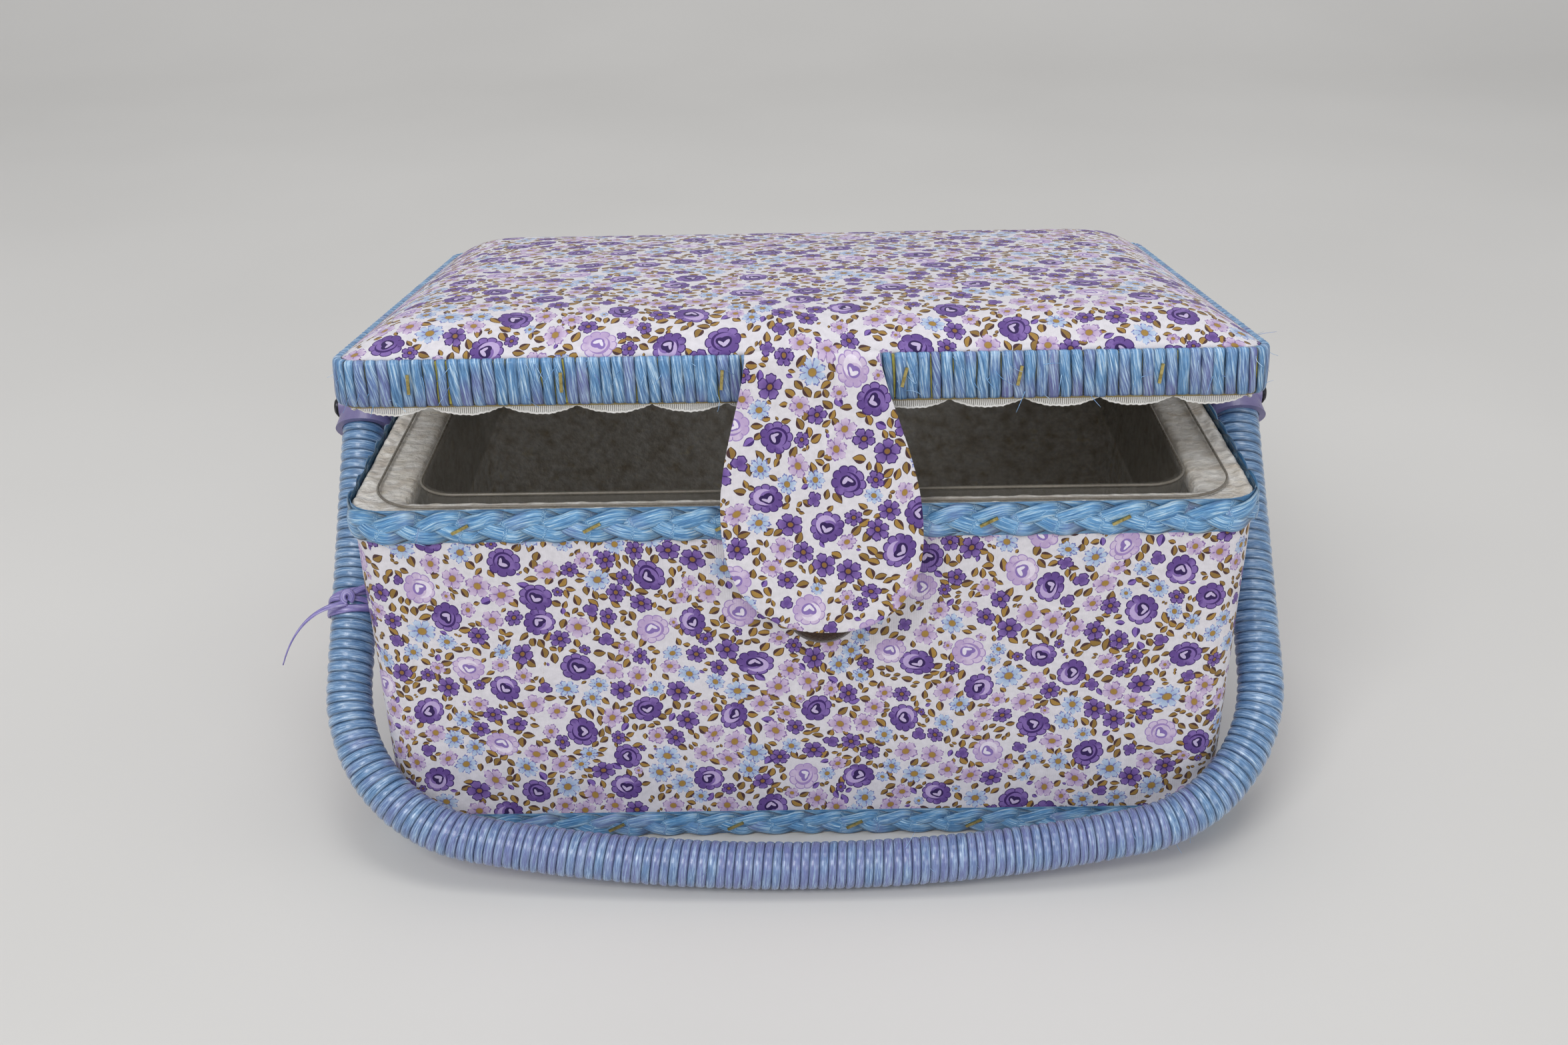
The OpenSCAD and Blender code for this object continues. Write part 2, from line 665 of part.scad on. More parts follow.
// Place and outward direction on the handle's centre line, from its middle
function rod_half(u) = u <= bow_len
    ? let(a = u / bow_r * 180 / PI) [[bow_r * sin(a), bow_c + bow_r * cos(a)], [sin(a), cos(a)]]
    : u <= bow_len + bend_len
    ? let(a = 90 - bow_tilt - (u - bow_len) / bend_r * 180 / PI)
        [bend_c + bend_r * [cos(a), sin(a)], [cos(a), sin(a)]]
    : let(v = u - bow_len - bend_len)
        [leg_end + v * [sin(leg_tilt), -cos(leg_tilt)], [cos(leg_tilt), sin(leg_tilt)]];
function rod_at(u) = let(h = rod_half(abs(u)), s = u < 0 ? -1 : 1)
    [[s * h[0][0], h[0][1]], [s * h[1][0], h[1][1]]];
function rod_point(u, r, turn) = let(h = rod_at(u)) [
    h[0][0] + r * cos(turn) * h[1][0], h[0][1] + r * cos(turn) * h[1][1], r * sin(turn)];

// Places along the centre line that a smooth tube needs between its two ends
function rod_stops(end) = concat([-end], [for (k = [0:14]) -bow_len - bend_len * (14 - k) / 14],
    [for (k = [1:11]) bow_len * (k / 6 - 1)],
    [for (k = [0:14]) bow_len + bend_len * k / 14], [end]);
rod_sides = 8;
function rod_loop(u, r) = [for (i = [0:rod_sides - 1]) rod_point(u, r, 360 * i / rod_sides)];

module handle_core() {
    color("#8d8a45") on_handle()
        loft([for (u = rod_stops(half_len - core_start)) rod_loop(u, core_r)]);
}

// Raffia wound along the whole handle: one helical ridge over an open tube
module handle_winding() {
    sides = rod_sides;
    end = half_len - socket_end + 6;
    turns = floor(2 * end / wind_pitch) - 1;
    pitch = 2 * end / (turns + 1.5);
    bore = core_r + fit_gap;
    steps = sides * turns;
    stops = rod_stops(end);
    tubes = len(stops);
    function helix(count, start, r) = [for (i = [0:count])
        rod_point(-end + start + i * pitch / sides, r, 360 * i / sides)];
    groove = helix(steps + sides, pitch / 4, rod_r - wind_groove);
    ridge = helix(steps, pitch * 3 / 4, rod_r);
    first = rod_loop(-end, rod_r - wind_groove);
    last = rod_loop(end, rod_r - wind_groove);
    points = concat(first, last, groove, ridge, [for (u = stops) each rod_loop(u, bore)]);
    a = 0;
    z = sides;
    g = 2 * sides;
    r = g + steps + sides + 1;
    b = r + steps + 1;
    function quad(p, q, s, t) = [[p, q, s], [p, s, t]];
    outer = [for (i = [0:steps - 1]) each concat(
        quad(g + i, r + i, r + i + 1, g + i + 1),
        quad(r + i, g + i + sides, g + i + sides + 1, r + i + 1))];
    ends = [for (i = [0:sides - 1]) let(j = (i + 1) % sides, c = b + sides * (tubes - 1)) each concat(
        quad(a + i, g + i, g + i + 1, a + j),
        quad(g + steps + i, z + i, z + j, g + steps + i + 1),
        quad(b + i, a + i, a + j, b + j),
        quad(z + i, c + i, c + j, z + j))];
    cuts = [[g, a, r], [a, g + sides, r],
        [z, g + steps, r + steps], [z, r + steps, g + steps + sides]];
    inner = [for (k = [0:tubes - 2]) for (i = [0:sides - 1]) let(j = (i + 1) % sides,
        p = b + sides * k, q = p + sides) each quad(p + i, p + j, q + j, q + i)];
    color("cornflowerblue") on_handle()
        polyhedron(points, concat(outer, ends, cuts, inner), convexity = 6);
}

// Flared plastic cup with a boss that turns on the pivot screw
module socket() {
    wall_x = body_w / 2 + braid_t + run_gap;
    on_handle() difference() {
        union() {
            translate([leg_x, 0, 0]) rotate([0, 0, leg_tilt]) rotate([-90, 0, 0])
                rotate_extrude($fn = 48) polygon([
                    [0, -socket_top], [socket_r - 3, -socket_top], [socket_r - 1, -socket_top + 1],
                    [socket_r, -socket_top + 3], [socket_r, 3], [skirt_r - 0.8, socket_end - 3],
                    [skirt_r, socket_end], [0, socket_end]]);
            translate([wall_x, 0, 0]) rotate([0, 90, 0])
                cylinder(r = 3 * screw_r, h = leg_x + socket_r - wall_x, $fn = 32);
        }
        translate([leg_x, 0, 0]) rotate([0, 0, leg_tilt]) rotate([-90, 0, 0]) {
            translate([0, 0, core_start - fit_gap])
                cylinder(r = core_r + fit_gap, h = socket_end, $fn = 48);
            translate([0, 0, socket_end - 6 - fit_gap])
                cylinder(r = rod_r + fit_gap, h = socket_end, $fn = 48);
        }
        translate([wall_x - 1, 0, 0]) rotate([0, 90, 0])
            cylinder(r = screw_r + pin_gap, h = 2 * socket_r + leg_x - wall_x, $fn = 32);
    }
}

module left_socket() {
    color("mediumpurple") mirror([1, 0, 0]) socket();
}

module right_socket() {
    color("mediumpurple") socket();
}

// Raffia tie knotted round the left leg
module handle_tie() {
    color("rebeccapurple") on_handle() translate([-leg_x, 0, 0]) rotate([0, 0, -leg_tilt])
        rotate([-90, 0, 0]) translate([0, 0, tie_at]) difference() {
            union() {
                for (z = [-2, 2]) translate([0, 0, z]) rotate([6 * z, 0, 0]) rotate_extrude($fn = 48)
                    translate([rod_r + 0.5, 0]) circle(r = 1.3, $fn = 16);
                translate([0, -rod_r - 1, 0]) sphere(r = 3.2, $fn = 24);
            }
            translate([0, 0, -10]) cylinder(r = rod_r + fit_gap, h = 20, $fn = 32);
        }
}

base_board();
box_shell();
body_cover();
base_braid();
base_staples();
rim_braid();
rim_staples();
wall_lining();
floor_lining();
rim_roll();
tray();
body_patch();
box_hinge_leaves();
hinge_pins();
box_rivets();
pivot_screws();
pivot_nuts();
lid_board();
lid_hoop();
rim_winding();
lid_staples();
lid_pad();
lid_cover();
lid_lining();
lid_lace();
lid_hinge_leaves();
lid_rivets();
flap_root();
flap();
flap_patch();
handle_core();
handle_winding();
left_socket();
right_socket();
handle_tie();
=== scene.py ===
import functools
import math

import bpy
import numpy as np
from mathutils import Matrix, Vector, noise


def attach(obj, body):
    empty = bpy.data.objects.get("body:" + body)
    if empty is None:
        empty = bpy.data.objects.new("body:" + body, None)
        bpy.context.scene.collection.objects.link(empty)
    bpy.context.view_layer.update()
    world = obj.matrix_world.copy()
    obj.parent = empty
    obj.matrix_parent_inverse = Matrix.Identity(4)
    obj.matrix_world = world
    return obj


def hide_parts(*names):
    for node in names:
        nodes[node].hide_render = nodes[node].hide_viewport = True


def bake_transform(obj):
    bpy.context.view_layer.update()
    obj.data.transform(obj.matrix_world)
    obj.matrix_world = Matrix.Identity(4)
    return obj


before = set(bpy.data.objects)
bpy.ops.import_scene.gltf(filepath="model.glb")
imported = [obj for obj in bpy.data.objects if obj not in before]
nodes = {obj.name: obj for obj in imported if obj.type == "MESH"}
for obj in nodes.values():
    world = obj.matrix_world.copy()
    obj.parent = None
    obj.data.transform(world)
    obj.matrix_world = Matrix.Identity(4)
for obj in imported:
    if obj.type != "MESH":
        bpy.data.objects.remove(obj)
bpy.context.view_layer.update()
rng = np.random.default_rng(7)

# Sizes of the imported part, in mm
BODY_W, BODY_D, BODY_H, BODY_R = 299.0, 212.5, 135.0, 12.5
SIDE_LEAN, FRONT_LEAN = 1.5, 3.0
RIM_BRAID_H, BASE_BRAID_H, BRAID_T = 12.6, 10.4, 2.2
TRAY_INSET_X, TRAY_INSET_Y, FLANGE_X, FLANGE_Y = 7.0, 4.0, 13.0, 8.6
ROLL_BOTTOM, FLANGE_Z = 122.0, 133.0
INNER_INSET, LINING_T = 3.1, 1.5
LID_W, LID_D, LID_R, LID_Z, LID_BACK = 300.0, 212.0, 10.0, 138.6, 1.2
LID_AJAR, CLOTH_CROWN, PANEL_TOP = 8.2, 12.3, 12.7
SKIRT_INSET, LACE_INSET = 3.25, 5.3
HINGE_Y, HINGE_Z = 109.6, 136.8
FOLD_Y, FOLD_Z, FLAP_T = -110.65, 155.2, 2.6
FLAP_LEN, FLAP_TOP_W, FLAP_MAX_W, PATCH_DROP, PATCH_DIA = 93.0, 42.0, 65.0, 61.0, 25.0
FLAP_X, FLAP_SKEW = 3.6, 4.4
PIVOT_H, LEG_X, LEG_LEAN, LEG_LEN = 127.0, 167.5, 3.3, 111.0
BEND_R, BOW_R, ROD_R = 59.0, 640.0, 8.2
SOCKET_END, TIE_AT = 10.0, 81.0

# Sizes of the dressed pieces, in mm; the pitches are those of turns, lobes, threads and scallops
PRINTED_CLOTH_T = 0.6
RIM_LOBE, BASE_LOBE = 13.8, 13.0
RIM_TURNS, RIM_GAPS = 271, 12
LEG_PITCH, BAR_PITCH_LESS = 3.95, 0.75
THREAD_PITCH, SCALLOP_PITCH, SCALLOP_LOW, SCALLOP_DEEP = 0.66, 24, -3.8, 2.8
RIM_FRAY, PLAIT_FRAY, BAR_FRAY = 84, 46, 46  # how many loose fibres
FLAP_SEWN, FOLD_R = 3, 1.55  # how far the flap reaches over the lid's edge, and half its fold
# The lining's shade mark of 0 gives neither stain nor painted shade
TONE, UNSTAINED_UNSHADED = 0.5, 0.0


# Camera

def add_camera():
    """Camera fitted to the photograph"""
    pitch, yaw, roll = (math.radians(a) for a in (27.148, -0.427, -1.036))
    ahead = Vector((math.sin(yaw) * math.cos(pitch), math.cos(yaw) * math.cos(pitch),
                    -math.sin(pitch)))
    level = Vector((math.cos(yaw), -math.sin(yaw), 0))
    up = level.cross(ahead)
    x_axis = level * math.cos(roll) + up * math.sin(roll)
    y_axis = up * math.cos(roll) - level * math.sin(roll)
    data = bpy.data.cameras.new("camera")
    data.sensor_width = 36
    data.sensor_fit = "HORIZONTAL"
    data.lens = 36.747
    data.clip_start = 0.01
    data.clip_end = 20
    camera = bpy.data.objects.new("camera", data)
    bpy.context.scene.collection.objects.link(camera)
    turned = Matrix((x_axis, y_axis, -ahead)).transposed().to_4x4()
    camera.matrix_world = Matrix.Translation(Vector((-0.00256, -0.5708, 0.36658))) @ turned
    bpy.context.scene.camera = camera


add_camera()


# Places

def xyz(x, y, z):
    """Points from their coordinates, any of which may be one number for all"""
    return np.stack(np.broadcast_arrays(x, y, z), -1)


def unit(rows):
    """Rows scaled to length 1"""
    return rows / np.linalg.norm(rows, axis=1)[:, None]


def on_lid(p):
    """Points of the closed lid, where it stands ajar"""
    a = math.radians(LID_AJAR)
    y, z = p[:, 1] - HINGE_Y, p[:, 2] - HINGE_Z
    return xyz(p[:, 0], HINGE_Y + y * math.cos(a) + z * math.sin(a),
               HINGE_Z - y * math.sin(a) + z * math.cos(a))


def in_lid(p):
    """Points above the closed lid's lower edge, where it stands ajar"""
    return on_lid(p + [0, LID_BACK, LID_Z])


leg_tilt = math.asin(LEG_LEAN / LEG_LEN)
leg_end = np.array([LEG_X - LEG_LEAN, LEG_LEN * math.cos(leg_tilt)])
bend_c = leg_end - BEND_R * np.array([math.cos(leg_tilt), math.sin(leg_tilt)])
bow_tilt = math.asin(bend_c[0] / (BOW_R - BEND_R))
bow_c = bend_c[1] - (BOW_R - BEND_R) * math.cos(bow_tilt)
handle_drop = math.asin((PIVOT_H - ROD_R - 0.1) / (bow_c + BOW_R))
bow_len = BOW_R * bow_tilt
bend_len = BEND_R * (math.pi / 2 - bow_tilt - leg_tilt)
half_len = bow_len + bend_len + LEG_LEN


def on_handle(p):
    """Points of the handle's own plane, where the handle lies"""
    a = math.pi + handle_drop
    return xyz(p[:, 0], p[:, 1] * math.cos(a) - p[:, 2] * math.sin(a),
               PIVOT_H + p[:, 1] * math.sin(a) + p[:, 2] * math.cos(a))


def rod(u):
    """Centre and outward direction in the handle's plane at distances u from its middle"""
    v = np.abs(u)
    side = np.where(u < 0, -1.0, 1.0)
    a = v / BOW_R
    b = math.pi / 2 - bow_tilt - (v - bow_len) / BEND_R
    w = v - bow_len - bend_len
    bow = v <= bow_len
    bend = v <= bow_len + bend_len

    def along(on_bow, on_bend, on_leg):
        return np.where(bow, on_bow, np.where(bend, on_bend, on_leg))

    x = along(BOW_R * np.sin(a), bend_c[0] + BEND_R * np.cos(b), leg_end[0] + w * math.sin(leg_tilt))
    y = along(bow_c + BOW_R * np.cos(a), bend_c[1] + BEND_R * np.sin(b),
              leg_end[1] - w * math.cos(leg_tilt))
    nx = along(np.sin(a), np.cos(b), math.cos(leg_tilt))
    ny = along(np.cos(a), np.sin(b), math.sin(leg_tilt))
    return np.stack([side * x, y], -1), np.stack([side * nx, ny], -1)


def rod_points(u, radius, turn):
    """Points round the handle at distances u from its middle, and the turn's angle"""
    centre, outward = rod(u)
    plane = centre + outward * (radius * np.cos(turn))[:, None]
    return xyz(*plane.T, radius * np.sin(turn))


class Loop:
    """Places round a rounded rectangle, which keep their side or corner on others of its kind"""

    def __init__(self, w, d, r, s):
        a, b, q = w / 2 - r, d / 2 - r, math.pi * r / 2
        lengths = np.array([a, q, 2 * b, q, 2 * a, q, 2 * b, q, a])
        self.length = lengths.sum()
        starts = np.concatenate([[0], np.cumsum(lengths)[:-1]])
        s = np.mod(s, self.length)
        self.part = np.searchsorted(starts, s, side="right") - 1
        self.share = (s - starts[self.part]) / lengths[self.part]

    def at(self, w, d, r):
        a, b = w / 2 - r, d / 2 - r
        part, share = self.part, self.share
        corner = part % 2 == 1
        quarter = part // 2
        cx = np.choose(np.where(corner, quarter, 0), [a, a, -a, -a])
        cy = np.choose(np.where(corner, quarter, 0), [-b, b, b, -b])
        turn = np.where(corner, (quarter - 1 + share) * math.pi / 2, 0)
        side = np.where(corner, 0, quarter)
        sx = np.choose(side, [a * share, a + r, a - 2 * a * share, -a - r, a * share - a])
        sy = np.choose(side, [-b - r, 2 * b * share - b, b + r, b - 2 * b * share, -b - r])
        nx = np.where(corner, np.cos(turn), np.choose(side, [0, 1, 0, -1, 0]))
        ny = np.where(corner, np.sin(turn), np.choose(side, [-1, 0, 1, 0, -1]))
        x = np.where(corner, cx + r * np.cos(turn), sx)
        y = np.where(corner, cy + r * np.sin(turn), sy)
        return np.stack([x, y], -1), np.stack([nx, ny], -1)


def loop_length(w, d, r):
    """Length round a rounded rectangle"""
    return 2 * (w + d - 4 * r) + 2 * math.pi * r


BODY_LOOP = loop_length(BODY_W, BODY_D, BODY_R)
LID_LOOP = loop_length(LID_W, LID_D, LID_R)
TURN = 2 * math.pi


def on_wall(s, z, out):
    """Points at distance s round the leaning walls, height z, and distance out from their face"""
    place, normal = Loop(BODY_W, BODY_D, BODY_R, s).at(BODY_W, BODY_D, BODY_R)
    lean = (BODY_H - z) / BODY_H
    return xyz(place[:, 0] + normal[:, 0] * (out - SIDE_LEAN * lean),
               place[:, 1] + normal[:, 1] * (out - FRONT_LEAN * lean), z)


def on_rim(s, z, inset):
    """Points at distance s round the lid's outline, set in from it"""
    place, normal = Loop(LID_W, LID_D, LID_R, s).at(LID_W, LID_D, LID_R)
    return xyz(*(place - normal * inset[:, None]).T, z)


# Meshes

def grid_faces(rows, cols, wrap_rows=False, wrap_cols=False):
    """Faces of a grid of points, which may close on itself either way"""
    i, j = np.meshgrid(np.arange(rows if wrap_rows else rows - 1),
                       np.arange(cols if wrap_cols else cols - 1), indexing="ij")
    below, right = (i + 1) % rows, (j + 1) % cols
    return np.stack([i * cols + j, i * cols + right, below * cols + right, below * cols + j],
                    -1).reshape(-1, 4)


class Piece:
    """Points, faces, grain marks, tones and shade marks that become one object; the shade marks paint
    light and shade into the raffia, and a stain and painted shade into the lining
    """

    def __init__(self):
        self.points, self.faces, self.grain, self.tone, self.shade = [], [], [], [], []
        self.count = 0

    def add(self, points, faces, grain, tone=TONE, shade=1.0):
        self.points.append(points)
        self.faces += [[i + self.count for i in face] for face in faces]
        self.grain.append(grain)
        self.tone.append(np.broadcast_to(np.asarray(tone, float), (len(points),)))
        self.shade.append(np.broadcast_to(np.asarray(shade, float), (len(points),)))
        self.count += len(points)

    def make(self, name, body, material, replaced=(), place=None):
        points = np.concatenate(self.points)
        if place:
            points = place(points)
        mesh = bpy.data.meshes.new(name)
        mesh.from_pydata((points / 1000).tolist(), [], self.faces)
        grain = mesh.attributes.new("grain", "FLOAT_VECTOR", "POINT")
        grain.data.foreach_set("vector", np.concatenate(self.grain).astype(np.float32).ravel())
        for mark, values in (("tone", self.tone), ("shade", self.shade)):
            added = mesh.attributes.new(mark, "FLOAT", "POINT")
            added.data.foreach_set("value", np.concatenate(values).astype(np.float32))
        mesh.materials.append(material)
        mesh.polygons.foreach_set("use_smooth", [True] * len(mesh.polygons))
        mesh.update()
        made = bpy.data.objects.new(name, mesh)
        bpy.context.scene.collection.objects.link(made)
        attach(made, body)
        if replaced:
            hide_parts(*replaced)
        return made


def tube(path, side, up, width, height, sides=8, number=0.0):
    """Tube of flattened section along a path, with closed ends, and its grain marks"""
    n = len(path)
    width, height = np.broadcast_to(width, n), np.broadcast_to(height, n)
    turn = np.arange(sides) * TURN / sides
    points = (path[:, None] + side[:, None] * (width[:, None] * np.cos(turn))[..., None]
              + up[:, None] * (height[:, None] * np.sin(turn))[..., None])
    step = np.linalg.norm(np.diff(path, axis=0), axis=1)
    run = np.concatenate([[0], np.cumsum(step)])
    grain = xyz(np.repeat(run, sides), (width[:, None] * np.cos(turn)).ravel(), number)
    faces = grid_faces(n, sides, wrap_cols=True).tolist()
    faces.append(list(range(sides))[::-1])
    faces.append([(n - 1) * sides + i for i in range(sides)])
    return points.reshape(-1, 3), faces, grain


# Shaders

def rgb(code):
    """Linear colour of a hex code"""
    parts = [int(code[i:i + 2], 16) / 255 for i in (1, 3, 5)]
    return tuple(c / 12.92 if c <= 0.04045 else ((c + 0.055) / 1.055) ** 2.4 for c in parts) + (1,)


class Value:
    """What a node gives; arithmetic on it adds nodes"""

    def __init__(self, shader, socket):
        self.shader, self.socket = shader, socket

    def __add__(self, other):
        return self.shader.math("ADD", self, other)

    def __sub__(self, other):
        return self.shader.math("SUBTRACT", self, other)

    def __rsub__(self, other):
        return self.shader.math("SUBTRACT", other, self)

    def __mul__(self, other):
        return self.shader.math("MULTIPLY", self, other)

    def __truediv__(self, other):
        return self.shader.math("DIVIDE", self, other)

    def __pow__(self, other):
        return self.shader.math("POWER", self, other)

    def __abs__(self):
        return self.shader.math("ABSOLUTE", self)

    def __lt__(self, other):
        return self.shader.math("LESS_THAN", self, other)

    def __gt__(self, other):
        return self.shader.math("GREATER_THAN", self, other)

    __radd__ = __add__
    __rmul__ = __mul__


class Shader:
    """A principled material and short calls that add nodes to it; colours may be hex codes"""

    def __init__(self, name, **values):
        self.material = bpy.data.materials.new(name)
        self.material.use_nodes = True
        self.tree = self.material.node_tree
        self.surface = self.tree.nodes["Principled BSDF"]
        self.set(**values)

    def set(self, **values):
        for key, value in values.items():
            self.plug(self.surface.inputs[key.replace("_", " ")], value)

    def plug(self, socket, value):
        if isinstance(value, Value):
            self.tree.links.new(value.socket, socket)
        else:
            socket.default_value = rgb(value) if isinstance(value, str) else value

    def add(self, kind, inputs, *wanted, **settings):
        """The wanted outputs of a new node, or its first"""
        made = self.tree.nodes.new(kind)
        for key, value in settings.items():
            setattr(made, key, value)
        for key, value in inputs.items():
            self.plug(made.inputs[key], value)
        values = [Value(self, made.outputs[key]) for key in wanted or (0,)]
        return values if len(values) > 1 else values[0]

    def math(self, operation, *values):
        return self.add("ShaderNodeMath", dict(enumerate(values)), operation=operation)

    def sin(self, angle):
        return self.math("SINE", angle)

    def cos(self, angle):
        return self.math("COSINE", angle)

    def least(self, *values):
        return functools.reduce(lambda a, b: self.math("MINIMUM", a, b), values)

    def most(self, *values):
        return functools.reduce(lambda a, b: self.math("MAXIMUM", a, b), values)

    def pick(self, test, yes, no):
        """Number yes where the test is 1, and no where it is 0"""
        return self.add("ShaderNodeMix", {0: test, 2: no, 3: yes})

    def mix(self, test, yes, no):
        """Colour yes where the test is 1, and no where it is 0"""
        return self.add("ShaderNodeMix", {0: test, 6: no, 7: yes}, 2, data_type="RGBA")

    def vector(self, operation, *values):
        return self.add("ShaderNodeVectorMath", dict(enumerate(values)), operation=operation)

    def scaled(self, vector, amount):
        return self.add("ShaderNodeVectorMath", {0: vector, 3: amount}, operation="SCALE")

    def parts(self, vector):
        return self.add("ShaderNodeSeparateXYZ", {0: vector}, 0, 1, 2)

    def join(self, x, y, z=0.0):
        return self.add("ShaderNodeCombineXYZ", {0: x, 1: y, 2: z})

    def attribute(self, name, output="Vector"):
        return self.add("ShaderNodeAttribute", {}, output, attribute_name=name)

    def noise(self, vector, scale, detail=2.0, roughness=0.5):
        return self.add("ShaderNodeTexNoise", {"Vector": vector, "Scale": scale, "Detail": detail,
                                               "Roughness": roughness})

    def cloud(self, scale, detail=2.0, roughness=0.5):
        """Noise at a place on the object, in metres"""
        return self.noise(self.add("ShaderNodeTexCoord", {}, "Object"), scale, detail, roughness)

    def ramp(self, value, *stops):
        color = self.add("ShaderNodeValToRGB", {0: value})
        band = color.socket.node.color_ramp
        while len(band.elements) < len(stops):
            band.elements.new(0.5)
        for element, (place, code) in zip(band.elements, stops):
            element.position = place
            element.color = rgb(code)
        return color

    def span(self, value, low, high, new_low=0.0, new_high=1.0):
        return self.add("ShaderNodeMapRange", {0: value, 1: low, 2: high, 3: new_low, 4: new_high})

    def bump(self, height, strength, distance):
        self.set(Normal=self.add("ShaderNodeBump", {"Height": height, "Strength": strength,
                                                    "Distance": distance}))


# The print
SMALL_CELL, ROSE_CELL, LEAF_CELL, ROSE = 8.8, 25.0, 3.6, 5.5  # mm; the last is a rose's radius
SMALL_SPREAD, ROSE_SPREAD, LEAF_SPREAD = 0.5, 0.75, 0.8  # how randomly motifs stand in their cells
PURPLE, BLUE, LILAC = 0.3, 0.56, 0.9  # share of the small flowers up to each kind; the rest are buds
PRINT_TURN, PRINT_DRIFT = 0.5, 6.5  # radians, mm
RIB, THREAD = 0.75, 0.5  # mm


def cells(sh, place, cell, spread, *wanted, **settings):
    inputs = {"Vector": place, "Scale": 1 / cell, "Randomness": spread}
    return sh.add("ShaderNodeTexVoronoi", inputs, *wanted, voronoi_dimensions="2D", **settings)


def nearest(sh, place, cell, spread):
    """Middle of the nearest motif, and its random numbers"""
    return cells(sh, place, cell, spread, "Position", "Color")


def room(sh, place, cell, spread):
    """Half the distance from the nearest motif to the next"""
    return cells(sh, place, cell, spread, "Radius", feature="N_SPHERE_RADIUS") * cell


def polar(sh, place, middle):
    """Distance and angle of a place as seen from a middle"""
    x, y, _ = sh.parts(sh.vector("SUBTRACT", place, middle))
    return sh.math("SQRT", x * x + y * y), sh.math("ARCTAN2", y, x)


def rose_distance(sh, place):
    """Distance to the nearest rose's middle"""
    return polar(sh, place, nearest(sh, place, ROSE_CELL, ROSE_SPREAD)[0])[0]


def small_flower(sh, place):
    """Middle, random numbers and radius of the nearest small flower, which makes way for roses"""
    middle, random = nearest(sh, place, SMALL_CELL, SMALL_SPREAD)
    kind, _, _ = sh.parts(random)
    cap = sh.pick(kind < PURPLE, 4.4, sh.pick(kind < BLUE, 4.9, sh.pick(kind < LILAC, 4.2, 2.7)))
    size = sh.least(room(sh, place, SMALL_CELL, SMALL_SPREAD) * 1.1, cap,
                    rose_distance(sh, middle) - (ROSE + 0.1))
    return middle, random, size * (size > 1.5)


def petals(sh, angle, count, size, depth, teeth):
    """Edge radius of a flower's petals, and how near the angle is to a petal's middle"""
    wave = abs(sh.cos(count * angle * 0.5))
    tooth = sh.cos(count * angle * 3.0) * teeth
    return size * (1.0 - depth * (1.0 - wave ** 0.5) + tooth), wave


def small_flower_color(sh, cloth):
    """Colour of the small flowers, and where they are"""
    middle, random, size = small_flower(sh, cloth)
    kind, shape, spin = sh.parts(random)
    r, angle = polar(sh, cloth, middle)
    angle = angle + spin * TURN
    bud = kind > LILAC
    purple = kind < PURPLE
    blue = (kind < BLUE) * (1.0 - purple)
    dark = sh.most(purple, bud)

    def of_kind(deep, azure, pale):
        return sh.mix(dark, deep, sh.mix(blue, azure, pale))

    count = sh.pick(blue, 8.0, sh.pick(bud, 3.0, 5.0) + sh.math("FLOOR", shape * 1.99))
    depth = sh.pick(blue, 0.5, sh.pick(purple, 0.36, 0.42))
    edge, wave = petals(sh, angle, count, size, depth, sh.pick(dark, 0.035, 0.05))
    stroke = sh.span(sh.noise(cloth, 0.55), 0.4, 0.6)
    width = sh.pick(dark, 0.42, stroke * 0.62)
    seam = (r * wave * 2.0 / count < width * 0.55) * (r > 1.3)
    share = r / sh.most(size, 0.1)
    near = sh.span(share, 0.25, 0.85)
    fill = of_kind(sh.mix(near, "#876ab0", "#664990"), sh.mix(near, "#c2d3ea", "#a3b8da"),
                   sh.mix(near, "#d6c3de", "#b99fc6"))
    color = sh.mix(sh.most(r > edge - width, seam), of_kind("#42286a", "#7a80bd", "#9577ae"), fill)
    color = sh.mix((share < 0.32) * (1.0 - bud), of_kind("#3b2058", "#8d7a6e", "#9a7a74"), color)
    heart = (share < sh.pick(dark, 0.2, 0.26)) * (1.0 - bud)
    color = sh.mix(heart, sh.mix(dark, "#8d6636", "#a9863f"), color)
    return color, r < edge


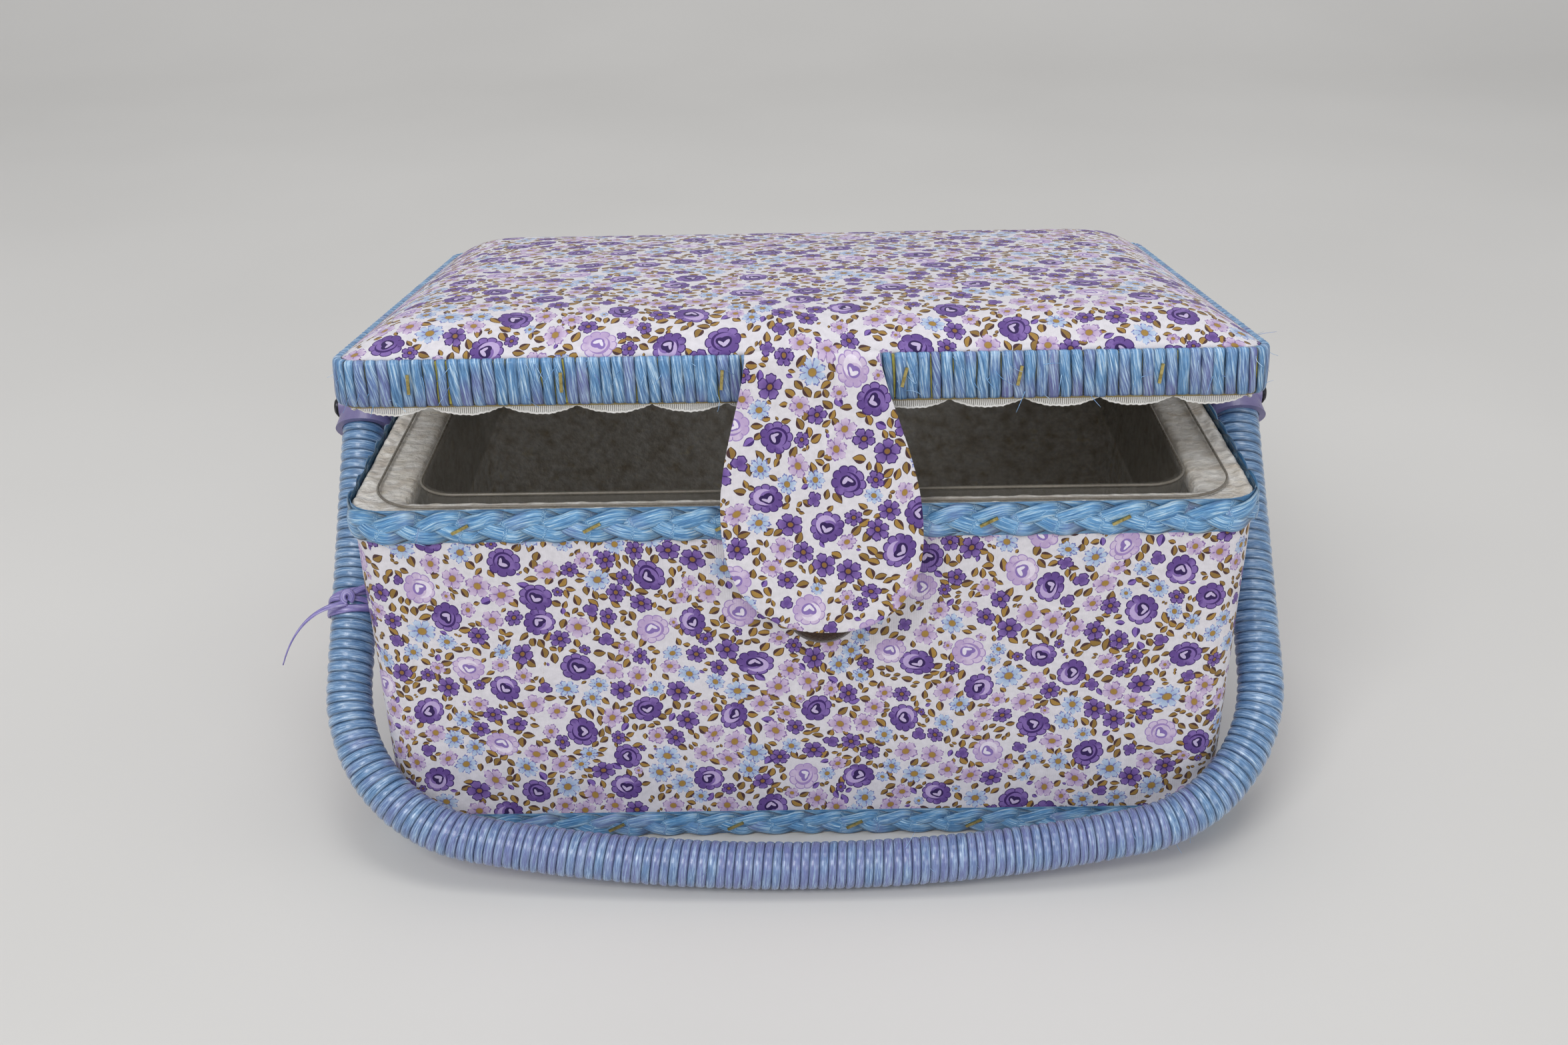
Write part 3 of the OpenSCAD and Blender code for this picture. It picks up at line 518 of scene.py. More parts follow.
def rose_color(sh, cloth):
    """Colour of the large scalloped flowers, and where they are"""
    middle, random = nearest(sh, cloth, ROSE_CELL, ROSE_SPREAD)
    kind, shape, spin = sh.parts(random)
    r, angle = polar(sh, cloth, middle)
    angle = angle + spin * TURN
    pale = kind > 0.72
    count = sh.math("FLOOR", shape * 2.99) + 8.0
    edge, wave = petals(sh, angle, count, ROSE, 0.15, 0.0)
    share = r / ROSE
    px, py = share * sh.cos(angle), share * sh.sin(angle)

    def of_kind(light, deep):
        return sh.mix(pale, light, deep)

    def oval(cx, cy, rx, ry):
        ex, ey = (px - cx) / rx, (py - cy) / ry
        return ex * ex + ey * ey < 1.0

    def without(a, b):
        return a * (1.0 - b)

    side = sh.span(px + sh.span(sh.noise(cloth, 0.5), 0.3, 0.7, -0.3, 0.3), 0.0, 0.35)
    fill = sh.mix(side, of_kind("#c3abd2", "#674a92"), of_kind("#d8c6e0", "#866aaf"))
    outer = without(r > edge - 0.36, wave < 0.05)
    seam = (r * wave * 2.0 / count < 0.16) * (share > 0.68)
    bowl = without(oval(-0.04, 0.0, 0.64, 0.6), oval(0.09, 0.06, 0.62, 0.56))
    crescent = without(oval(-0.16, 0.04, 0.6, 0.56), oval(0.12, 0.1, 0.5, 0.46))
    cup = sh.most(oval(0.12, 0.04, 0.34, 0.38), oval(-0.1, -0.08, 0.3, 0.24))
    white = sh.most(oval(0.2, 0.02, 0.12, 0.26), oval(0.04, -0.14, 0.26, 0.09))
    color = sh.mix(sh.most(outer, seam, bowl), of_kind("#a68bc4", "#3f2269"), fill)
    color = sh.mix(crescent * (shape > 0.5), of_kind("#eee4f2", "#c3aedb"), color)
    color = sh.mix(cup, of_kind("#8d74b8", "#2f1755"), color)
    color = sh.mix(white, of_kind("#efe8f4", "#cdbde0"), color)
    return color, r < edge


def leaf_color(sh, cloth):
    """Colour of the leaves and bud leaves that fill the gaps between flowers, and where they are"""
    middle, random = nearest(sh, cloth, LEAF_CELL, LEAF_SPREAD)
    flower, _, flower_size = small_flower(sh, middle)
    away, toward = polar(sh, middle, flower)
    clear = (away > flower_size + 0.1) * (rose_distance(sh, middle) > ROSE + 0.4)
    lean, kind, hue = sh.parts(random)
    r, angle = polar(sh, cloth, middle)
    turned = angle - (toward + (lean - 0.5) * 3.2)
    along, across = r * sh.cos(turned), r * sh.sin(turned)
    length = sh.least(room(sh, cloth, LEAF_CELL, LEAF_SPREAD) * 1.45, 2.3)
    half = length * 0.62
    taper = along / length
    spread = abs(across) / ((taper * -0.25 + 1.0) * half) + taper * taper
    dark = sh.most(spread > 0.78, across > half * 0.3)
    bud = kind > 0.93
    fill = sh.mix(bud, "#8668b6", sh.mix(hue < 0.5, "#a98440", "#94743a"))
    line = sh.mix(bud, "#43286e", "#4b3032")
    return sh.mix(dark, line, fill), (spread < 1.0) * clear


def flower_print(sh, cloth):
    """Colour of a scattered small-flower print at a place on the cloth in mm"""
    x, y, _ = sh.parts(cloth)
    cos, sin = math.cos(PRINT_TURN), math.sin(PRINT_TURN)
    turned = sh.join(x * cos - y * sin, x * sin + y * cos)
    moved = sh.add("ShaderNodeTexNoise", {"Vector": turned, "Scale": 0.035, "Detail": 1.0}, "Color")
    drift = sh.scaled(sh.vector("SUBTRACT", moved, (0.5, 0.5, 0.5)), PRINT_DRIFT)
    moved_x, moved_y, _ = sh.parts(sh.vector("ADD", turned, drift))
    place = sh.join(moved_x, moved_y)
    color = "#e4e0e5"
    for motif in (leaf_color, small_flower_color, rose_color):
        drawn, there = motif(sh, place)
        color = sh.mix(there, drawn, color)
    return sh.scaled(color, sh.span(sh.noise(cloth, 0.45, 3.0, 0.6), 0.3, 0.75, 0.88, 1.04))


def print_material(name):
    sh = Shader(name, Roughness=0.72, Sheen_Weight=0.15, Specular_IOR_Level=0.3)
    cloth = sh.attribute("grain")
    sh.set(Base_Color=flower_print(sh, cloth))
    x, y, _ = sh.parts(cloth)
    weave = sh.sin(x * (TURN / RIB)) + sh.sin(y * (TURN / THREAD)) * 0.35
    sh.bump(weave * 0.12 + sh.noise(cloth, 0.08) * 3.0, 0.5, 0.0004)
    return sh.material


def raffia_material(name, deep, mid, light, violet, roughness, coat=0.3):
    """Split and shiny raffia: streaks along the strand, whose places are grain marks"""
    sh = Shader(name, Specular_IOR_Level=0.6, Coat_Weight=coat, Coat_Roughness=0.22)
    along, across, number = sh.parts(sh.attribute("grain"))

    def fibres(stretch, thin, spread, detail):
        place = sh.join(along * stretch, across * thin, number * spread)
        return sh.noise(place, 1.0, detail, 0.62)

    streak = fibres(0.13, 1.9, 7.3, 4.0)
    fine = fibres(0.3, 6.5, 3.1, 2.0)
    strand = sh.noise(sh.join(number, along * 0.03), 1.7, 1.0)
    # The streaks are the raffia's own fibres; the palest stop, near white, is a painted highlight on
    # them
    color = sh.ramp(streak, (0.33, deep), (0.5, mid), (0.63, light), (0.76, "#dcebf5"))
    patch = sh.span(strand + (sh.attribute("tone", "Fac") - 0.5), 0.5, 0.78)
    violet_streak = sh.mix(sh.span(streak, 0.45, 0.75), light, violet)
    color = sh.mix(patch * 0.8, violet_streak, color)
    # The fine fibres vary the tone at random; the shade mark multiplies in the painted light and shade
    # of each piece
    shade = sh.span(fine, 0.3, 0.72, 0.7, 1.22) * sh.attribute("shade", "Fac")
    sh.set(Base_Color=sh.scaled(color, shade),
           Roughness=sh.span(fine, 0.2, 0.8, roughness - 0.08, roughness + 0.16))
    sh.bump(streak + fine * 0.5, 0.6, 0.0003)
    return sh.material


def lining_material(name):
    """Aged cream lining, browned where its shade marks say; its creases are darkened by painted shade
    """
    sh = Shader(name, Roughness=0.9, Sheen_Weight=0.2, Specular_IOR_Level=0.2)
    cloth = sh.attribute("grain")
    fine = sh.noise(cloth, 0.55, 3.0, 0.6)
    creases = sh.add("ShaderNodeTexVoronoi", {"Vector": cloth, "Scale": 0.28}, "Distance",
                     feature="SMOOTH_F1")
    color = sh.ramp(sh.noise(cloth, 0.09, 4.0, 0.62), (0.3, "#cdbfa8"), (0.4, "#ece6dc"),
                    (0.6, "#faf7f2"), (0.78, "#f3e7c8"))
    # Painted shade: the creases of the cloth are darkened
    color = sh.mix(sh.span(creases, 0.4, 0.8, 0.0, 0.6), "#b3a38d", color)
    # The shade mark browns the lining: a stain along the roll's outer edge, and painted shade in its
    # deepest creases
    color = sh.mix(sh.attribute("shade", "Fac"), "#94673f", color)
    sh.set(Base_Color=sh.scaled(color, sh.span(fine, 0.3, 0.75, 1.12, 0.8)))
    sh.bump(fine - creases, 1.0, 0.0012)
    return sh.material


def card_material(name, dark, light, roughness=0.85):
    sh = Shader(name, Roughness=roughness, Specular_IOR_Level=0.25)
    fibres = sh.cloud(900.0, 4.0, 0.65)
    sh.set(Base_Color=sh.ramp(fibres * 0.6 + sh.cloud(40.0) * 0.4, (0.35, dark), (0.65, light)))
    sh.bump(fibres, 0.35, 0.0002)
    return sh.material


def metal_material(name, dark, light, roughness=0.32):
    sh = Shader(name, Metallic=1.0)
    cloud = sh.cloud(700.0, 5.0, 0.65)
    sh.set(Base_Color=sh.ramp(cloud, (0.3, dark), (0.62, light)),
           Roughness=sh.span(cloud, 0.3, 0.7, roughness + 0.16, roughness - 0.06))
    sh.bump(cloud, 0.2, 0.0001)
    return sh.material


def plastic_material(name, dark, light, roughness=0.3):
    sh = Shader(name, Coat_Weight=0.2)
    scuffs = sh.cloud(700.0, 3.0, 0.7)
    sh.set(Base_Color=sh.ramp(sh.cloud(60.0, 4.0, 0.6), (0.3, dark), (0.7, light)),
           Roughness=sh.span(scuffs, 0.3, 0.7, roughness - 0.06, roughness + 0.2))
    sh.bump(scuffs, 0.12, 0.0001)
    return sh.material


def clear_material(name):
    """Clear moulded plastic: nearly nothing face on, and darker on its steep walls by painted shade"""
    sh = Shader(name, Specular_IOR_Level=0.6)
    scuffs = sh.cloud(350.0, 4.0, 0.7)
    _, _, up = sh.parts(sh.add("ShaderNodeNewGeometry", {}, "Normal"))
    steep = sh.span(abs(up), 0.9, 0.3)
    facing = sh.add("ShaderNodeLayerWeight", {0: 0.3}, "Facing")
    # Painted shade: the steep walls get a dark grey colour and are made less clear
    sh.set(Base_Color=sh.mix(steep, "#7b756b", sh.ramp(scuffs, (0.3, "#bdbcb4"), (0.7, "#dedcd4"))),
           Roughness=sh.span(scuffs, 0.3, 0.7, 0.06, 0.24),
           Alpha=sh.span(facing, 0.2, 1.0, 0.02, 0.12) + steep * 0.26)
    return sh.material


def plush_material(name, dark, light):
    sh = Shader(name, Roughness=0.95, Sheen_Weight=0.5, Specular_IOR_Level=0.2)
    pile = sh.cloud(1500.0, 3.0, 0.7)
    sh.set(Base_Color=sh.ramp(pile, (0.3, dark), (0.7, light)))
    sh.bump(pile, 0.8, 0.0005)
    return sh.material


def thread_material(name, dark, light):
    sh = Shader(name, Roughness=0.85, Sheen_Weight=0.3)
    along, across, _ = sh.parts(sh.attribute("grain"))
    sh.set(Base_Color=sh.ramp(sh.cloud(300.0, 3.0, 0.6), (0.35, dark), (0.7, light)))
    sh.bump(sh.sin((along + across) * (TURN / 0.5)), 0.3, 0.0001)
    return sh.material


floral = print_material("floral_cotton")
raffia_rim = raffia_material("raffia_rim", "#356897", "#6394c2", "#b3d0e6", "#68659f", 0.36)
raffia_plait = raffia_material("raffia_plait", "#336fa6", "#629ccb", "#b4d6ec", "#7888bd", 0.32)
raffia_handle = raffia_material("raffia_handle", "#476f99", "#668fbb", "#a2c0de", "#7177ae", 0.24, 0.9)
raffia_tie = raffia_material("raffia_tie", "#6a5fa6", "#8b80c2", "#b6addc", "#7c70b6", 0.4)
lining = lining_material("aged_lining")
strawboard = card_material("strawboard", "#8d7d52", "#ab9a6b")
greyboard = card_material("greyboard", "#8d7d66", "#a8987f")
core_strip = card_material("olive_core", "#8f8a3c", "#b3ad5a", 0.6)
brass = metal_material("worn_brass", "#837543", "#c9b878", 0.36)
steel = metal_material("plated_steel", "#8b8b8d", "#c2c2c4")
black_screw = metal_material("black_screw", "#232326", "#3b3a40", 0.4)
lilac_plastic = plastic_material("lilac_plastic", "#6d6690", "#857da8")
clear_plastic = clear_material("clear_plastic")
# Painted shade: a dark plastic for the lines at the clear tray's bends
painted_bend_shade = plastic_material("painted_bend_shade", "#6f685e", "#8b8478", 0.2)
plush = plush_material("brown_loops", "#2c1c12", "#4b3423")
cotton_thread = thread_material("cotton_thread", "#eceae4", "#fbfaf7")

for material, named in (
        (greyboard, "base_board"), (strawboard, "box_shell lid_board"),
        (core_strip, "lid_hoop handle_core"), (clear_plastic, "tray"),
        (brass, "base_staples rim_staples lid_staples box_hinge_leaves lid_hinge_leaves"),
        (brass, "hinge_pins box_rivets lid_rivets"), (black_screw, "pivot_screws"),
        (steel, "pivot_nuts"), (lilac_plastic, "left_socket right_socket")):
    for node in named.split():
        nodes[node].material_slots[0].material = material


# Body

def as_cloth(made):
    """Gives a sheet its thickness, inward"""
    thick = made.modifiers.new("cloth", "SOLIDIFY")
    thick.thickness = PRINTED_CLOTH_T / 1000
    thick.offset = -1


def ripple(xs, ys, seed, x_scale=0.02, y_scale=0.03):
    """Smooth noise at places on a cloth"""
    return np.array([noise.noise(Vector((x * x_scale, y * y_scale, seed))) for x, y in zip(xs, ys)])


def wall_cloth():
    """Printed cotton glued to the walls"""
    cols = 340
    s = np.linspace(0, BODY_LOOP, cols) + BODY_LOOP / 2
    heights = np.concatenate([[0.4], np.arange(4, 130, 4.0), [130.8]])
    piece = Piece()
    s, z = (grid.ravel() for grid in np.meshgrid(s, heights))
    piece.add(on_wall(s, z, 0.25 * ripple(s, z, 1.5)), grid_faces(len(heights), cols), xyz(s, z, 0.0))
    as_cloth(piece.make("wall_cloth", "box", floral, ["body_cover"]))


wall_cloth()


def plait(name, z0, height, node, lobe):
    """Flat plait of three strands; each crosses over on its way out from the middle"""
    piece = Piece()
    middle = z0 + height / 2
    periods = round(BODY_LOOP / (3 * lobe))
    steps, sides = 32 * periods, 14
    s = np.arange(steps) * BODY_LOOP / steps
    turn = np.arange(sides) * TURN / sides
    for strand in range(3):
        knots = np.append(rng.normal(size=6 * periods), 0)
        knots[-1] = knots[0]
        uneven = np.interp(s, np.linspace(0, BODY_LOOP, 6 * periods + 1), knots)
        theta = TURN * (s * periods / BODY_LOOP + strand / 3) + 0.12 * uneven
        over = np.sin(2 * theta)
        crossing = np.cos(theta) ** 2
        wide = height * (0.262 - 0.045 * crossing + 0.014 * np.roll(uneven, 40))
        reach = height / 2 - wide * 0.9
        z = middle + reach * (0.72 * np.arcsin(0.985 * np.sin(theta)) * 2 / math.pi
                              + 0.3 * np.sin(theta))
        slope = np.gradient(z, s)
        lean = np.hypot(1, slope)
        depth = 1.12 + 0.5 * over
        thick = 0.6 + 0.06 * over
        ridges = 1 + 0.035 * np.sin(turn * 6)[None] + 0.03 * rng.normal(size=(1, sides))
        spread = wide[:, None] * np.cos(turn) * ridges
        ps = s[:, None] - (slope / lean)[:, None] * spread
        pz = np.clip(z[:, None] + spread / lean[:, None], z0 + 0.08, z0 + height - 0.05)
        po = np.clip(depth[:, None] + thick[:, None] * np.sin(turn) * ridges, 0.1, BRAID_T + 0.04)
        lobes = np.floor(3 * periods * s / BODY_LOOP + strand)
        grain = xyz(np.repeat(s, sides), spread.ravel(), np.repeat(lobes, sides))
        # Painted light and shade: each strand darkens towards its edges where it meets its neighbours,
        # is lighter along its upper edge, and darker where it passes under another strand
        crease = np.abs(np.cos(turn)) ** 4
        lit = 0.14 * np.clip(np.cos(turn), 0, 1)
        shade = 1.1 + lit[None] - 0.62 * crease[None] - 0.55 * np.clip(-over, 0, 1)[:, None]
        piece.add(on_wall(ps.ravel(), pz.ravel(), po.ravel()),
                  grid_faces(steps, sides, wrap_rows=True, wrap_cols=True), grain,
                  np.repeat(0.45 + 0.12 * uneven, sides), shade.ravel())
    cols = 260
    s = np.linspace(0, BODY_LOOP, cols, endpoint=False)
    highs = np.array([0.2, 0.9, height - 0.9, height - 0.2]) + z0
    band = on_wall(np.tile(s, 4), np.repeat(highs, cols), np.repeat([0.2, 0.5, 0.5, 0.2], cols))
    grain = xyz(np.tile(s, 4), np.repeat(highs, cols), 0.0)
    # The backing band is darkened to 0.75 by painted shade, for the gaps between the strands
    piece.add(band, grid_faces(4, cols, wrap_cols=True), grain, 0.4, 0.75)
    piece.make(name, "box", raffia_plait, [node])


plait("rim_plait", BODY_H - RIM_BRAID_H, RIM_BRAID_H, "rim_braid", RIM_LOBE)
plait("base_plait", 0.0, BASE_BRAID_H, "base_braid", BASE_LOBE)


def lumps(points, scale, seed):
    """Rounded bumps with creases between them, from 0 to about 1"""
    shift = Vector((seed, 2 * seed, 3 * seed))
    return np.array([noise.voronoi(Vector(p) * scale + shift)[0][0] for p in points])


def roll():
    """Padded roll inside the rim, gathered into puckers"""
    cols = 860
    loop = Loop(BODY_W, BODY_D, BODY_R, np.linspace(0, BODY_LOOP, cols, endpoint=False))
    edge_x, edge_y = TRAY_INSET_X + FLANGE_X - 1, TRAY_INSET_Y + FLANGE_Y - 0.9
    tx, ty = TRAY_INSET_X, TRAY_INSET_Y
    seat = FLANGE_Z - 0.15
    profile = [  # inset at the sides, inset at the front, height, how far it puckers
        (0.1, 0.1, 131.1, 0), (0.1, 0.1, 132.2, 0.1), (0.35, 0.35, 133.5, 0.5),
        (1.2, 1.0, 134.2, 0.8), (2.4, 1.7, 134.4, 0.9), (3.8, 2.3, 134.2, 0.9),
        (5.0, 2.9, 133.9, 0.8), (6.0, 3.35, 133.5, 0.5), (tx - 0.3, ty - 0.3, 133.0, 0.1),
        (tx + 0.4, ty + 0.4, seat, 0.25), (tx + 3, ty + 1.8, seat, 0.35),
        (tx + 6, ty + 3.8, seat, 0.35), (tx + 9, ty + 5.8, seat - 0.1, 0.35),
        (edge_x - 1.8, edge_y - 1.6, seat - 0.5, 0.3), (edge_x - 0.6, edge_y - 0.5, seat - 1.6, 0.2),
        (edge_x - 0.2, edge_y - 0.2, seat - 4, 0.2), (edge_x - 0.6, edge_y - 0.5, seat - 7, 0.2),
        (edge_x - 3, edge_y - 1.8, ROLL_BOTTOM + 1.2, 0.1), (edge_x - 6, edge_y - 3.6, ROLL_BOTTOM, 0),
        (3.2, 3.2, ROLL_BOTTOM, 0), (3.2, 3.2, 131.1, 0)]
    rings, marks, puckers = [], [], []
    run, last = 0.0, profile[0]
    for ix, iy, z, pucker in profile:
        place, _ = loop.at(BODY_W - 2 * ix, BODY_D - 2 * iy, max(BODY_R - min(ix, iy), 2))
        run += math.hypot(iy - last[1], z - last[2])
        last = (ix, iy, z)
        rings.append(xyz(*place.T, z))
        marks.append(xyz(np.arange(cols) * BODY_LOOP / cols, run, 0.0))
        puckers.append(np.full(cols, pucker))
    points, grain, pucker = np.concatenate(rings), np.concatenate(marks), np.concatenate(puckers)
    bumps = lumps(points, 0.24, 3.0) + 0.5 * lumps(points, 0.5, 8.0)
    points[:, 2] -= pucker * bumps * 1.9
    points[:, 2] += pucker * 0.5 * (points[:, 2] > seat + 0.3)
    at_nuts = ((np.abs(points[:, 1]) < 7) & (points[:, 2] < 132)
               & (np.abs(points[:, 0]) > BODY_W / 2 - INNER_INSET - 2))
    points[at_nuts, 0] -= np.sign(points[at_nuts, 0]) * 5.6
    # Brown along the roll's outer edge by the braid is a stain; brown in the deepest creases between
    # the puckers is painted shade
    stain_and_shade = np.clip(1 - grain[:, 1] / 3.5, 0, 1) ** 2 + 0.35 * np.clip(bumps - 0.75, 0, 1)
    piece = Piece()
    piece.add(points, grid_faces(len(profile), cols, wrap_rows=True, wrap_cols=True)[:, ::-1], grain,
              shade=np.clip(stain_and_shade, 0, 0.75))
    made = piece.make("rim_roll_cloth", "box", lining, ["rim_roll"])
    smooth = made.modifiers.new("soft", "SUBSURF")
    smooth.levels = 1
    smooth.render_levels = 1


roll()


def tray_lips():
    """Painted shade: the dark lines that the clear tray shows at its bends, the flange's edge and the
    well's, drawn as tubes of dark plastic
    """
    piece = Piece()
    well_x, well_y = TRAY_INSET_X + FLANGE_X + 0.5, TRAY_INSET_Y + FLANGE_Y + 0.5
    for inset_x, inset_y, r, z, radius in (
            (TRAY_INSET_X - 0.1, TRAY_INSET_Y - 0.1, 18.1, FLANGE_Z + 0.75, 0.45),
            (well_x, well_y, 13.5, FLANGE_Z + 0.7, 0.5)):
        w, d = BODY_W - 2 * inset_x, BODY_D - 2 * inset_y
        s = np.linspace(0, loop_length(w, d, r), 360)
        place, normal = Loop(w, d, r, s).at(w, d, r)
        piece.add(*tube(xyz(*place.T, z), xyz(*normal.T, 0.0), xyz(0 * s, 0.0, 1.0), radius, radius))
    piece.make("tray_bends", "box", painted_bend_shade)


tray_lips()


def wall_lining():
    """Gathered lining on the walls"""
    cols, rows = 380, 44
    s, z = (grid.ravel() for grid in np.meshgrid(np.linspace(0, BODY_LOOP, cols, endpoint=False),
                                                 np.linspace(3.2, 120.2, rows)))
    bumps = lumps(on_wall(s, z, -INNER_INSET - 0.1), 0.16, 5.0)
    points = on_wall(s, z, -(INNER_INSET + LINING_T) - 0.9 + 1.6 * bumps)
    piece = Piece()
    piece.add(points, grid_faces(rows, cols, wrap_cols=True)[:, ::-1], xyz(s, z, 0.0), shade=UNSTAINED_UNSHADED)
    as_cloth(piece.make("wall_lining_cloth", "box", lining, ["wall_lining"]))


wall_lining()


def rounded_grid(w, d, r, nx, ny):
    """Grid over a rounded rectangle, with the share of the way out from its middle"""
    u, v = np.meshgrid(np.linspace(-1, 1, nx), np.linspace(-1, 1, ny))
    x, y = u.ravel() * w / 2, v.ravel() * d / 2
    a = np.clip((np.abs(x) - (w / 2 - r)) / r, 0, 1)
    b = np.clip((np.abs(y) - (d / 2 - r)) / r, 0, 1)
    both = (a > 0) & (b > 0)
    na = np.where(both, a * np.sqrt(1 - b * b / 2), a)
    nb = np.where(both, b * np.sqrt(1 - a * a / 2), b)
    x = np.sign(x) * np.where(a > 0, w / 2 - r + na * r, np.abs(x))
    y = np.sign(y) * np.where(b > 0, d / 2 - r + nb * r, np.abs(y))
    inner = np.where(both, r - r * np.hypot(na, nb),
                     np.minimum(w / 2 - np.abs(x), d / 2 - np.abs(y)))
    return x, y, inner


def border(nx, ny):
    """Grid places round the edge of a grid, in order"""
    top = list(range(nx))
    right = [nx * j + nx - 1 for j in range(1, ny)]
    bottom = [nx * (ny - 1) + i for i in range(nx - 2, -1, -1)]
    left = [nx * j for j in range(ny - 2, 0, -1)]
    return np.array(top + right + bottom + left)


def pillow(nx, ny, top, bottom, grain):
    """Closed form from two grids that share a border, as points and faces"""
    ring = border(nx, ny)
    inner = np.setdiff1d(np.arange(nx * ny), ring)
    number = np.full(nx * ny, -1)
    number[ring] = ring
    number[inner] = nx * ny + np.arange(len(inner))
    points = np.concatenate([top, bottom[inner]])
    marks = np.concatenate([grain, grain[inner]])
    upper = grid_faces(ny, nx)
    lower = number[upper][:, ::-1]
    return points, np.concatenate([upper, lower]), marks


def floor_pad():
    """Padded lining on the floor"""
    inset = INNER_INSET + LINING_T + 0.3
    w, d = BODY_W - 2 * (inset + SIDE_LEAN), BODY_D - 2 * (inset + FRONT_LEAN)
    nx, ny = 90, 64
    x, y, e = rounded_grid(w, d, 8, nx, ny)
    rise = 3.6 * (1 - np.exp(-e / 7)) + 0.4 * (1 - np.exp(-e / 40))
    flat = xyz(x, y, 3.1)
    bumps = lumps(flat, 0.09, 2.0) * np.clip(e / 10, 0, 1)
    piece = Piece()
    piece.add(*pillow(nx, ny, flat + xyz(0, 0, 0.2 + rise - 0.7 * bumps), flat, xyz(x, y, 0.0)),
              shade=UNSTAINED_UNSHADED)
    made = piece.make("floor_pad", "box", lining, ["floor_lining"])


floor_pad()


def patch(name, body, node, centre, across, up, out, radius, thick, place=None):
    """Round patch of cut pile with a soft edge"""
    rings, cols = 9, 56
    angle = np.arange(cols) * TURN / cols
    rows, marks = [], []
    for share in np.append(np.arange(rings) / (rings - 1), 1.0):
        x, y = radius * share * np.cos(angle), radius * share * np.sin(angle)
        rows.append(centre + np.outer(x, across) + np.outer(y, up))
        marks.append(xyz(x, y, 0.0))
        if len(rows) <= rings:
            high = thick * (1 - max(0, (share - 0.86) / 0.14) ** 2 * 0.9)
            rows[-1] = rows[-1] + np.outer(high + 0.08 * rng.random(cols), out)
    faces = grid_faces(rings + 1, cols, wrap_cols=True).tolist()
    faces.append([rings * cols + i for i in range(cols)])
    piece = Piece()
    piece.add(np.concatenate(rows), faces, np.concatenate(marks))
    piece.make(name, body, plush, [node], place)


patch_z = FOLD_Z - PATCH_DROP
patch_x = FLAP_X + FLAP_SKEW * PATCH_DROP / FLAP_LEN
wall_y = -BODY_D / 2 + FRONT_LEAN * (BODY_H - patch_z) / BODY_H
wall_tilt = math.atan(FRONT_LEAN / BODY_H)
patch("body_loop_patch", "box", "body_patch", np.array([patch_x, wall_y - 0.05, patch_z]),
      (1, 0, 0), (0, -math.sin(wall_tilt), math.cos(wall_tilt)),
      (0, -math.cos(wall_tilt), -math.sin(wall_tilt)), PATCH_DIA / 2, 1.15)
patch("flap_hook_patch", "flap", "flap_patch",
      np.array([patch_x, FOLD_Y + FLAP_T / 2 + 0.05, patch_z]),
      (-1, 0, 0), (0, 0, 1), (0, 1, 0), (PATCH_DIA - 1) / 2, 2.25, on_lid)


# Lid

